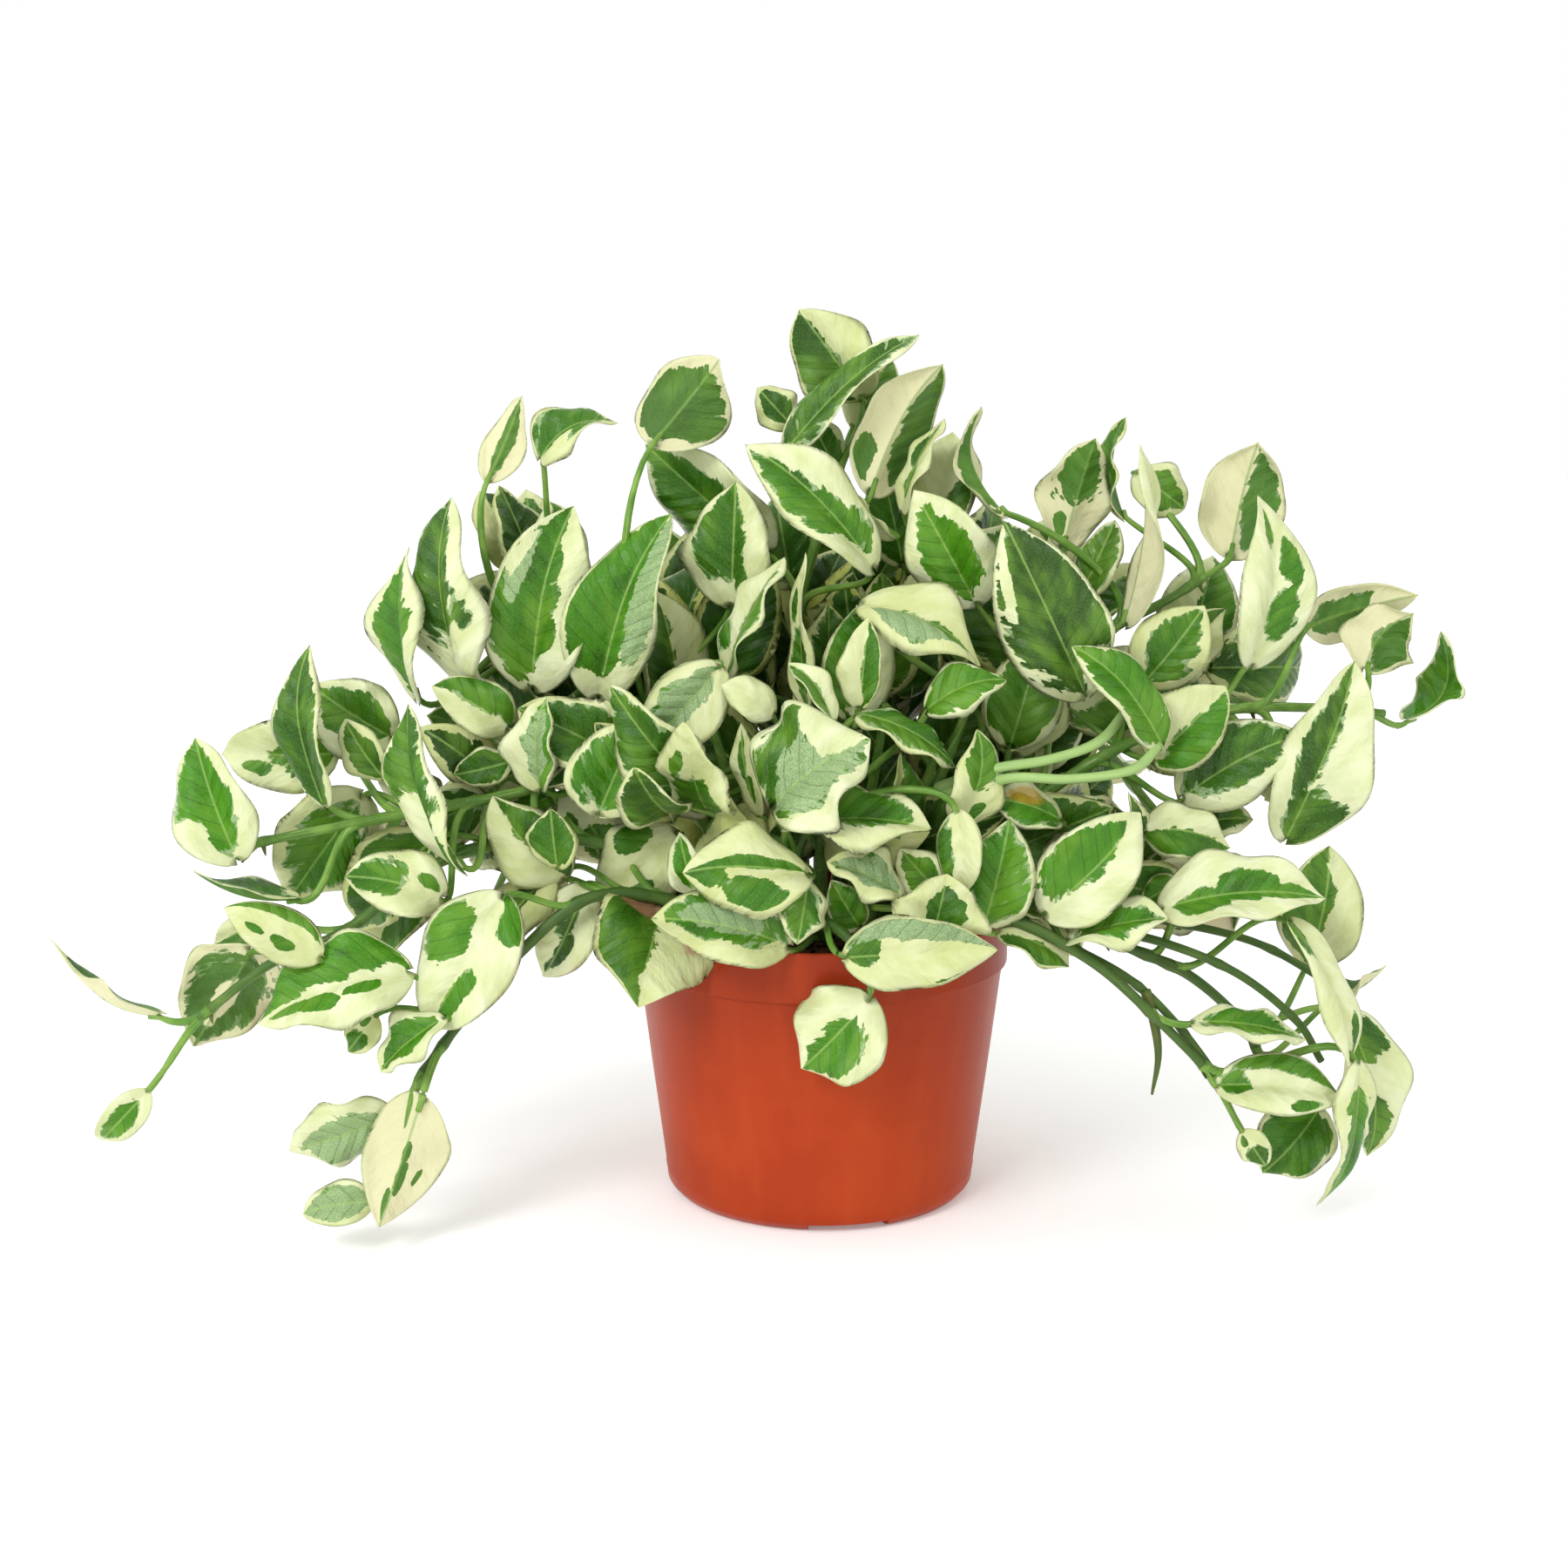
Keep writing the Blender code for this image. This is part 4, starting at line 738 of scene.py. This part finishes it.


# ---------------------------------------------------------------------------------------
# Small leaves: the lesser blades of each stem, in the same form as the large ones but for
# the tone and the painted shade, each moved a little towards or away from the front to stand free.
SMALL_GRID, TRIAL_GRID, SMALL_SEED = (30, 17), (14, 7), 100
SMALL_LEAVES = """
left_mid
-18.2 -3.6 16.9  -21.2 -3.8 12.8  F 4.4 10 6  centre
-14.6 -6.9 13.7  -18.2 -7.1 14.6  FU 2.8 12 10  tip
-19.3 -4.4 17  -20.4 -4.4 23.2  LF 2.8 45 5  full
-17.2 -2.2 19.2  -20.2 -2.7 21.3  F 3.4 10 8  centre
-17.1 -4.4 17.9  -18.6 -4.6 20.3  F 2 20 10  centre
-8.6 -5.6 16.8  -7 -5.8 20.5  F 3.5 14 8  g 46 -8 46 74
-10.3 -5.4 14.6  -10.5 -5.6 16.9  F 2.1 30 5  full
left_far
-18.9 -7.4 11.9  -22.3 -7.6 14  FU 2.2 30 5  g 55 74 50 26, g 36 -30 14 24, g 66 -34 12 18
-21 -5 12.2  -24 -5 11.3  UF 1.8 20 10  left
left_low
-16.8 -7 5  -20.8 -7 3.6  F 3.4 10 8  y 45 -8 42 66
-17.4 -8.2 2  -20.1 -8.2 1.5  FU 1.9 15 10  y 50 0 52 78
-14.4 -8.3 9.4  -16.8 -8.6 7.4  FU 2.2 25 10  centre
-17 -8.4 9.4  -18.1 -8.5 8  F 1.4 35 10  tip
-6.2 -4.6 12.8  -7 -8.8 10.2  FU 4.9 6 6  g 50 55 60 58, c 45 -60 60 50, p 12 40 16 60, p 30 -60 24 26
-5 -6.6 13.9  -5.5 -6.6 16.2  F 1.5 15 10  centre
left_top
-16.2 -0.8 20.6  -16.8 -0.8 26.8  LF 3.2 42 5  centre
-12.4 -3.2 19.7  -15.3 -3.4 21.4  FU 2.4 15 10  right
-12.3 -3.6 18.4  -14.5 -3.8 17.9  F 1.6 15 10  full
-11 -4.6 17.5  -10.8 -4.8 21.2  FL 2.4 25 8  g 50 50 50 50, y 52 20 46 56
-13.2 -1 29.3  -11.7 -1 32.7  B 1.9 36 14  g 50 0 50 36; foot -11.6 -0.5 22.8
-11.1 -1.3 30.1  -8 -1.2 31.6  UF 2.4 15 26  g 44 -30 50 60, g 60 60 20 30; foot -9.2 -0.6 21.6
-3.6 -1 24.4  -3.4 -1.2 29.2  F 3.7 10 8  g 60 -25 46 60, g 20 30 14 20
-4 -5.6 22.2  -7.2 -6 18.8  F 3 18 12  y 45 20 42 52, g 60 40 30 30
top
-3.8 -2.6 21.8  -1.5 -2.8 26.4  FL 3.2 25 8  g 45 40 46 42, g 25 -40 14 25
1.6 1.6 32.6  -0.9 1.4 36  F 3.6 14 8  g 55 -45 50 60
-1.2 1.8 31.4  -2.6 1.8 32.9  F 1.8 8 8  centre
0.6 1.2 29.6  -0.6 1.2 32  F 2 10 8  centre
1.4 2.2 31.4  2.9 2.4 34.3  F 2.4 10 8  right
2 -1.6 25.9  -3 -1.4 30.8  FU 3.6 22 10  g 62 -35 34 55, g 30 20 22 45, c 50 60 20 30
2.9 -0.6 26.9  1.1 -0.6 29  FL 1.5 25 10  cream
1.2 -2.4 20  1.8 -2.2 24.8  F 3.1 22 8  left
-0.6 -3.4 20.6  -0.9 -3.2 26.6  FL 1.6 40 3  base
right_top
3.2 0.8 28  4.9 0.8 31.7  FL 2.2 20 10  islands
7.4 0.4 27.8  5.7 0.4 32.2  LU 2.4 46 12  centre
9.9 1.2 26.6  11.1 1.2 30.9  B 3 12 8  tip
12.4 1.6 27.6  12 1.6 31.8  L 2.2 45 8  full
13 2 29.4  15.1 2 27.9  F 2.4 10 10  centre
12.9 -1.6 21.3  15.2 -1.8 24.4  F 3.2 8 8  centre
13.2 -2.6 18.4  15.9 -2.8 21.3  F 3.2 8 10  right
13.2 -4.2 19.2  9.8 -4.6 23.4  FR 3 20 8  full
1.6 -3.4 24.6  6.4 -4.4 22.4  UF 3.4 15 14  y 40 40 30 40, g 62 20 24 30
right_mid
22 -0.4 21.7  23.8 -0.6 24  BU 3 15 20  left
19.8 0.6 17  20.3 0.6 19.3  R 1.4 20 5  base
20 0.2 17.2  18.2 0.2 16.2  F 1.5 10 10  islands
15.2 -1 15.3  17.6 -1.2 15.7  FU 1.8 12 10  centre
5.3 -6 16.4  6.2 -6.2 20.1  FR 2.4 15 8  tip
9.2 -5.2 16.4  6.4 -5.3 17.3  FU 2.2 12 10  g 40 -20 50 70, o 56 36 34 44
right_low
6.2 -6.8 12.7  7.1 -6.6 16.7  F 3.2 12 10  full
9.4 -7.4 12.2  13 -8 13.2  FU 3 18 8  centre
12.7 -4.4 15.9  16 -4.6 15.2  UF 2.6 12 12  right
13.8 -4.8 13.9  12.4 -5 13  F 1.5 10 10  full
19.6 -3.2 10.2  20.4 -3 15  F 3.4 12 8  g 52 -40 52 58
20.2 -4 8.9  22.3 -4.2 10.4  U 1.8 25 -10  left
right_front
14 -8.6 9.3  18.2 -8.9 8.7  FU 2.4 22 10  g 48 0 44 66
20.3 -8 7.6  19.6 -8.2 1.6  FR 2.3 30 4  g 60 0 50 70; roll 0, twist 4
19.3 -6.6 5.1  17.2 -6.8 2.6  F 3.2 12 10  full
16 -8.6 4.9  16.9 -8.8 3.6  F 1.4 10 10  tip
front
1.4 -5.6 20.6  5.1 -6 18.6  UF 2.4 10 15  full
-1.3 -7.2 16.4  4.1 -8.2 16.5  FU 3.6 12 10  g 45 -20 46 70
3 -7.4 13.9  0.1 -7.7 15.3  FU 2.4 20 8  y 50 0 44 62
1.4 -6.2 12.4  0.3 -6.6 14.3  F 1.8 15 8  full
4.4 -6.6 13.9  2.9 -7 15.6  F 2.1 15 8  centre
-0.7 -8 14.9  -5.3 -8.8 15.3  FU 3.6 30 5  g 45 12 50 16, g 82 -20 18 40, g 45 -62 26 34
1.4 -5 20.8  1.7 -4.8 24.2  F 1.8 20 6  right
4 -5 20.7  7.1 -5.2 22.1  FU 2.2 12 12  full
-1.9 -5 20.6  -3.9 -5.2 21.8  FU 1.9 12 10  cream
0.4 -6.2 20.4  -1.2 -5.8 22.8  FR 1.5 28 8  left
-6.8 -5 18.3  -4.4 -5.2 18.7  UF 1.3 20 0  base
-2.5 -5.4 16.6  -3.2 -5.4 20.2  FL 1.3 30 5  islands
5 -7.6 17.1  5.2 -8 13.9  F 2 32 8  g 40 60 40 40
front_rim
-0.6 -8.2 14.5  -1 -9 12.3  F 2.3 14 10  g 50 10 50 75
-1.4 -8.3 12.1  -6.5 -8.8 13.3  FU 3.2 8 10  g 50 15 50 70, y 50 20 34 45, c 30 -80 12 26, c 66 -80 12 26
4 -8.2 12.3  4.6 -8.3 15  F 3.6 12 8  g 52 8 32 48
0.9 -8.8 12  6.3 -9.4 12.3  F 3 34 -4  y 55 -74 60 34, g 8 -20 16 50, g 66 98 20 14; roll 4, twist 0,
    curl 0.5
right_front
6.8 -7 12.4  9.6 -7.4 11.2  FU 2.2 10 10  right
left_far
-5.8 -3.2 15.4  -8.8 -3.8 12.6  F 3.6 10 6  g 30 60 20 30, g 60 -40 14 20
right_top
7.2 -2.6 24.4  7.5 -2.6 27.2  F 0.9 62 2  full
right_mid
17.6 -1.4 18.2  19.4 -1.6 16  F 2.2 14 10  left
right_top
4.4 1.6 26.8  5.4 1.8 31.2  F 3 12 8  g 30 60 30 40
3.4 2.4 25.8  2.4 2.6 30.2  F 2.8 12 8  full
top
-1.2 1.6 24.8  -1.9 1.8 28.8  F 2.8 12 8  full
right_mid
7.6 -1.6 18.8  8.7 -1.4 23  F 3.4 14 8  full
"""


def solid(vertices, faces):
    """Low and high corner of a shape's box, and its search tree."""
    tree = BVHTree.FromPolygons(vertices.tolist(), [list(f) for f in faces])
    return vertices.min(0), vertices.max(0), tree


def coarse(leaf, seed):
    """Solid of a leaf's blade on a coarse grid."""
    return solid(*blade(leaf, seed, *TRIAL_GRID)[:2])


def crossings(shape, others):
    """How many faces of the shape and the others cross."""
    low, high, tree = shape
    return sum(len(tree.overlap(other)) for a, b, other in others if (low < b).all() and (high > a).all())


def settle(leaf, seed, others):
    """The leaf moved along Y, by up to 15 mm, to where it crosses the others least."""
    best = None
    for step in (0, -3, 3, -6, 6, -9, 9, -12, 12, -15, 15):
        shift = np.array((0, 0.001 * step, 0))
        moved = leaf | {"base": leaf["base"] + shift, "tip": leaf["tip"] + shift}
        shape = coarse(moved, seed)
        count = crossings(shape, others)
        if best is None or count < best[0]:
            best = (count, moved, shape)
        if count == 0:
            break
    others.append(best[2])
    return best[1]


placed = [coarse(leaf, number) for number, leaf in enumerate(large, 1)]
draw = np.random.default_rng(5)
small = {name: [] for name in STEMS}
for row in read_rows(SMALL_LEAVES, 3):
    leaf = leaf_from((*row[:7], draw.uniform(0.2, 0.95), draw.uniform(0, 0.35), *row[7:]))
    seed = SMALL_SEED + len(small[leaf["stem"]])
    small[leaf["stem"]].append((settle(leaf, seed, placed), seed))
for name, leaves in small.items():
    if leaves:
        blades(f"small_blades_{name}", leaves, SMALL_GRID)


# ---------------------------------------------------------------------------------------
# Crown leaves: many on short shoots from the soil, and some over the joints of the stems.
# Tried leaves are left out where they would cross a placed piece, or more faces of other
# filling leaves and of shoots than their kind may.
SHOOTS, FILL_GRID, LEAFY_STEMS = 18, (22, 13), ("left_mid", "left_top")
DOME_MIDDLE, DOME_REACH, GOLDEN_ANGLE = (0, 2.2, 14.2), (15.0, 10.5, 12.0), 2.39996
CROWN_SEED, CROWN_TRIES, CROWN_MAY_CROSS = 1000, 2000, (48, 0)
INNER_SEED, INNER_TRIES, INNER_MAY_CROSS = 5000, 700, (60, 30)
JOINT_SEED, JOINT_TRIES, JOINT_MAY_CROSS = 3000, 50, (30, 0)
turn = 2 * math.pi * (np.arange(SHOOTS) + 0.5) / SHOOTS
high = 2.4 * np.sin(2.9 * np.arange(SHOOTS))
for k in range(SHOOTS):
    c, d = math.cos(turn[k]), math.sin(turn[k])
    STEMS[f"shoot_{k + 1}"] = [
        (2.6 * c, 0.4 + 2.2 * d, 10.4), (4.4 * c, 1 + 3.2 * d, 14.2 + 0.3 * high[k]),
        (6.2 * c, 1.6 + 4.2 * d, 17.4 + 0.7 * high[k]), (7.4 * c, 2 + 5 * d, 20 + high[k])]


def shoots_at(turn):
    """Name of the shoot that stands at each angle round the pot."""
    return [f"shoot_{n + 1}" for n in ((turn % (2 * math.pi)) / (2 * math.pi) * SHOOTS).astype(int)]


def spread(draw, stem, base, lean, length, face, marks, broad, fold, tone, warm):
    """Leaves from arrays of their places; the other values are drawn, each from its range."""
    ranges = (broad, fold, (0.04, 0.14), tone, warm)
    broad, fold, arch, tone, warm = (draw.uniform(*ends, len(base)) for ends in ranges)
    tip = base + lean * length[:, None]
    rows = zip(stem, base, tip, face, length * broad, fold, arch, tone, warm, marks)
    return [leaf_from((*row, {})) for row in rows]


def crown_leaves(count, seed):
    """Leaves spread by the golden angle over a dome above the pot.

    A base lies on the dome's ray at a share of its reach; the tip leans out, up and sideways.
    """
    draw = np.random.default_rng(seed)
    k = np.arange(count)
    turn = GOLDEN_ANGLE * k + draw.uniform(-0.3, 0.3, count)
    low = np.where(np.sin(turn) > 0.15, -34, -10)
    rise = np.radians(low + (74 - low) * ((k * 0.618) % 1))
    ray = np.stack([np.cos(rise) * np.cos(turn), np.cos(rise) * np.sin(turn), np.sin(rise)], -1)
    reach = draw.uniform(0.42, 0.92, (count, 1))
    base = np.array(DOME_MIDDLE) + ray * np.array(DOME_REACH) * reach
    lean = unit(0.55 * ray + draw.uniform(-0.1, 0.9, (count, 1)) * UP
                + draw.uniform(-0.7, 0.7, (count, 1)) * np.cross(ray, UP))
    length = draw.uniform(4.6, 6.8, count) * (1 - 0.3 * k / count)
    face = unit(ray + 0.3 * UP + draw.uniform(-0.28, 0.28, (count, 3)))
    marks = draw.choice(["centre", "left", "right", "full", "base", "full", "tip", "full"], count)
    # Painted shade: leaves set nearer the dome's middle are darker, with yellower cream.
    warm = 1.25 - 1.2 * reach[:, 0]
    return spread(draw, shoots_at(turn), base, lean, length, face, marks,
                  (0.58, 0.70), (8, 26), (0, 0.8), (warm, warm))


def inner_leaves(count, seed):
    """Upright leaves spread at random in a box of 17 by 5 by 9 cm inside the crown, with a strong painted
    shade.
    """
    draw = np.random.default_rng(seed)
    base = draw.uniform((-8, 1, 12.4), (9, 6, 21.5), (count, 3))
    lean = unit(draw.uniform((-0.6, -0.2, 0.3), (0.6, 0.2, 1.0), (count, 3)))
    face = unit(draw.uniform((-0.5, -1.0, -0.1), (0.5, -0.6, 0.4), (count, 3)))
    length = draw.uniform(5.0, 7.0, count)
    marks = draw.choice(["full", "centre", "full", "left", "full"], count)
    stem = shoots_at(np.arctan2(base[:, 1] - 1, base[:, 0]))
    return spread(draw, stem, base, lean, length, face, marks,
                  (0.56, 0.68), (8, 26), (0, 0.5), (0.5, 1))


def joint_leaves(stem, count, seed):
    """Leaves set alternately over the joints of a stem, a little behind it, tips out and up."""
    draw = np.random.default_rng(seed)
    route = smooth_route(STEMS[stem], 10)
    span = 0.66 if stem in LEAFY_STEMS else 0.42
    share = (np.arange(count) + draw.uniform(0.2, 0.8, count)) / count * span + 0.18
    at = (share * (len(route) - 2)).astype(int) + 1
    along = unit(route[at] - route[at - 1])
    odd = (np.arange(count) % 2)[:, None]
    base = route[at] + UP * draw.uniform(0.2, 2.8, (count, 1)) + BACK * draw.uniform(0.6, 4.0, (count, 1))
    lean = unit(0.6 * along + (0.9 - 1.1 * odd) * UP + draw.uniform(-0.3, 0.3, (count, 3)))
    length = draw.uniform(3.4, 5.6, count)
    face = unit(0.35 * UP - BACK + draw.uniform(-0.35, 0.35, (count, 3)))
    marks = draw.choice(["centre", "left", "right", "full", "islands", "full", "base", "full"], count)
    return spread(draw, [stem] * count, base, lean, length, face, marks,
                  (0.6, 0.72), (8, 20), (0, 0.8), (0, 0.5))


shafts = []
for name, points in STEMS.items():
    route = smooth_route(points, 4)[3:] * CM
    shape = solid(*tube(route, np.full(len(route), STEM_RADIUS), 6, 0, 1, 0))
    (shafts if name.startswith("shoot") else placed).append(shape)
for piece in (pot, soil):
    corners = np.array([v.co for v in piece.data.vertices])
    placed.append(solid(corners, [p.vertices for p in piece.data.polygons]))
filling, extra = [], {name: [] for name in STEMS}
tried = [(CROWN_SEED, crown_leaves(CROWN_TRIES, 21), CROWN_MAY_CROSS),
         (INNER_SEED, inner_leaves(INNER_TRIES, 8), INNER_MAY_CROSS)]
for k, name in enumerate(name for name in STEMS if name.startswith(("left", "right"))):
    tried.append((JOINT_SEED + 60 * k, joint_leaves(name, JOINT_TRIES, 60 + k), JOINT_MAY_CROSS))
for first, leaves, (most, most_shaft) in tried:
    for seed, leaf in enumerate(leaves, first):
        shape = coarse(leaf, seed)
        free = not crossings(shape, placed) and crossings(shape, shafts) <= most_shaft
        if free and crossings(shape, filling) <= most:
            filling.append(shape)
            extra[leaf["stem"]].append((leaf, seed))
crown = [pair for name in STEMS if name.startswith("shoot") for pair in extra[name]]
for part in range(4):
    blades(f"crown_blades_{part + 1}", crown[part::4], FILL_GRID)
for name in STEMS:
    if extra[name] and not name.startswith("shoot"):
        blades(f"joint_blades_{name}", extra[name], FILL_GRID)


# ---------------------------------------------------------------------------------------
# The stems themselves, each one piece with the stalks of all its leaves and the root nubs
# at its joints.  At the right three bare stems, two thick pale stalks and a dry root hang.
PALE_STALKS = {"right_mid": [
    [(4.6, -4.2, 17.4), (6.5, -5.9, 18.5), (8.6, -6.1, 18.9), (10.6, -5.4, 19.5), (12, -3.6, 20.6)],
    [(4.8, -4.4, 17.2), (7.1, -6.2, 18.2), (9.4, -6.4, 18.2), (11.8, -6, 18.5), (13.1, -4.3, 19.2)]]}
BARE_STEMS = {"right_low": [
    [(3.4, -2.6, 10.6), (6.4, -5.4, 12.9), (9.4, -6.4, 11.7), (11.8, -7.2, 10.5),
     (13.6, -7.6, 8.8), (15, -7.8, 7)],
    [(3.8, -2, 10.6), (6.8, -4.2, 13.2), (10.1, -5.2, 12.2), (13, -6.2, 11.8), (15.9, -6.8, 10.7),
     (18.2, -7, 8.9), (19.3, -6.8, 7.2)],
    [(4.2, -1.4, 10.6), (7.4, -3.2, 13.6), (10.9, -4, 12.5), (13.9, -4.8, 12.2),
     (17.2, -5.2, 11.4), (20.5, -5.4, 9.5)]]}
LOOSE_ROOTS = {"right_front": [[(12.3, -7.6, 10.2), (12.7, -7.4, 8.9), (12.9, -7.3, 7.5), (12.7, -7.3, 6)]]}
STEM_AGE = {"left_mid": 0.35, "left_far": 0.6, "right_mid": 0.3, "right_top": 0.4, "top": 0.3}
PALE_STALK_SHARE = 1.45
ROOT_RADIUS, HANGING_ROOT_RADIUS, BARE_RADIUS = 0.0011, 0.0021, 0.0021
for name in [name for name in STEMS if not name.startswith("shoot")]:
    groups = []
    for stem in [name] + ([n for n in STEMS if n.startswith("shoot")] if name == "top" else []):
        leaves = [leaf for leaf in large if leaf["stem"] == stem]
        leaves += [leaf for leaf, _ in small.get(stem, []) + extra[stem]]
        groups.append((smooth_route(STEMS[stem], 12) * CM, leaves))
    vertices, faces, runs, ages, start = [], [], [], [], 0
    for route, leaves in groups:
        paths = [stalk_points(route[::2], *(leaf[k] for k in ("base", "tip", "face", "arch")),
                              leaf.get("foot")) for leaf in leaves]
        feet = np.array([foot for path, foot in paths] + [route[0]])
        u = np.linspace(0, 1, 6)[:, None]
        nubs = [foot + u * (0, 0, -0.0052) + u ** 2 * (0.0012, -0.0016, 0) for foot in feet[:-1:3]]
        tubes = [("stem", route)] + [("stalk", path) for path, foot in paths]
        tubes += [("nub", path) for path in nubs]
        if route is groups[0][0]:
            for sort, routes in (("pale", PALE_STALKS), ("bare", BARE_STEMS), ("root", LOOSE_ROOTS)):
                tubes += [(sort, smooth_route(p, 8) * CM) for p in routes.get(name, [])]
        for sort, path in tubes:
            share = np.linspace(0, 1, len(path))
            if sort == "stem":
                near = np.linalg.norm(path[:, None] - feet, axis=-1)
                scar = 0.8 * np.exp(-(near[:, ::3].min(1) / 0.0022) ** 2)
                swell = 0.0005 * np.exp(-(near.min(1) / 0.003) ** 2)
                radius = STEM_RADIUS + (STEM_END_RADIUS - STEM_RADIUS) * share + swell
                sides, ridge, ridges, tone = 16, 0.05, 8, STEM_AGE.get(name, 1.0)
            elif sort == "bare":
                joint = np.exp(-(((share * 5 + 0.4) % 1 - 0.5) / 0.05) ** 2)
                scar, radius = 0.8 * joint, BARE_RADIUS * (1 - 0.3 * share + 0.2 * joint)
                sides, ridge, ridges, tone = 12, 0.05, 8, 1.0
            elif sort in ("nub", "root"):
                scar = 0.8 + 0 * share
                radius = (ROOT_RADIUS if sort == "nub" else HANGING_ROOT_RADIUS) * (1 - 0.75 * share ** 2)
                sides, ridge, ridges, tone = 8, 0.06, 3, 1.0
            else:
                scar = 0.5 * np.exp(-(share / 0.05) ** 2)
                radius = STALK_RADIUS * (1 + 0.5 * np.exp(-(share / 0.12) ** 2) - 0.25 * share ** 3)
                radius = radius * (PALE_STALK_SHARE if sort == "pale" else 1)
                sides, ridge, ridges, tone = 10, 0.10, 2, -1.0 if sort == "pale" else 0.0
            v, f = tube(path, radius, sides, ridge, ridges, start)
            turn = np.arange(sides) * 2 * math.pi / sides
            run = np.cumsum(np.r_[0, np.linalg.norm(np.diff(path, axis=0), axis=1)]) / CM
            grid = np.stack(np.broadcast_arrays(run[:, None], turn[None] / 6.28 + start, scar[:, None]), -1)
            runs.append(np.vstack([grid.reshape(-1, 3), [[0, 0, 0], [run[-1], 0, 0]]]))
            ages.append(np.full(len(v), tone))
            vertices.append(v)
            faces += f
            start += len(v)
    vine = put_mesh(f"vine_{name}", np.vstack(vertices), faces, stem_look.mat,
                    {"run": np.vstack(runs), "age": np.concatenate(ages)})
    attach(vine, "root")
    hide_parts(f"stem_{name}")


# ---------------------------------------------------------------------------------------
# Studio: a plain pale floor, a big soft light from the upper left, weaker ones from the
# right and from above, and a white surround.
FLOOR_REACH, FLOOR_LINES, FLOOR_DROP = 8, 17, 0.0005
floor_look = Nodes("studio_floor", 0.9, 0.1)
floor_look.shader.inputs["Base Color"].default_value = (0.95, 0.95, 0.95, 1)
floor_look.shader.inputs["Emission Color"].default_value = (1, 1, 1, 1)
floor_look.shader.inputs["Emission Strength"].default_value = 0.17
reach = np.linspace(-FLOOR_REACH, FLOOR_REACH, FLOOR_LINES)
x, y = np.meshgrid(reach, reach, indexing="ij")
quads = grid_quads(np.arange(FLOOR_LINES ** 2).reshape(FLOOR_LINES, FLOOR_LINES))[:, ::-1]
points = np.stack([x, y, np.full_like(x, -FLOOR_DROP)], -1)
floor = put_mesh("studio_floor", points, quads.tolist(), floor_look.mat)


def soft_light(name, place, size, watts, aim=(0, 0, 0.15)):
    """A round area light at a place, turned towards the point that it is aimed at."""
    lamp = bpy.data.lights.new(name, "AREA")
    lamp.shape, lamp.size, lamp.energy = "DISK", size, watts
    obj = bpy.data.objects.new(name, lamp)
    bpy.context.collection.objects.link(obj)
    obj.location = place
    away = np.array(place) - np.array(aim)
    flat = math.hypot(away[0], away[1])
    obj.rotation_euler = (math.atan2(flat, away[2]), 0, math.atan2(away[0], -away[1]))


soft_light("key", (-0.9, -1.4, 1.3), 0.7, 18)
soft_light("fill", (1.3, -1.1, 0.7), 1.2, 1)
soft_light("top", (0.1, 0.5, 1.6), 1.2, 2)
world = bpy.data.worlds.new("studio")
world.use_nodes = True
world.node_tree.nodes["Background"].inputs["Color"].default_value = (1, 1, 1, 1)
world.node_tree.nodes["Background"].inputs["Strength"].default_value = 1.0
bpy.context.scene.world = world
bpy.context.scene.view_settings.view_transform = "Standard"

camera = bpy.data.objects.new("camera", bpy.data.cameras.new("camera"))
camera.data.lens, camera.data.sensor_width = 50, 36
camera.location = (-0.015, -0.88, 0.324)
camera.rotation_euler = (math.radians(80), 0, 0)
bpy.context.collection.objects.link(camera)
bpy.context.scene.camera = camera
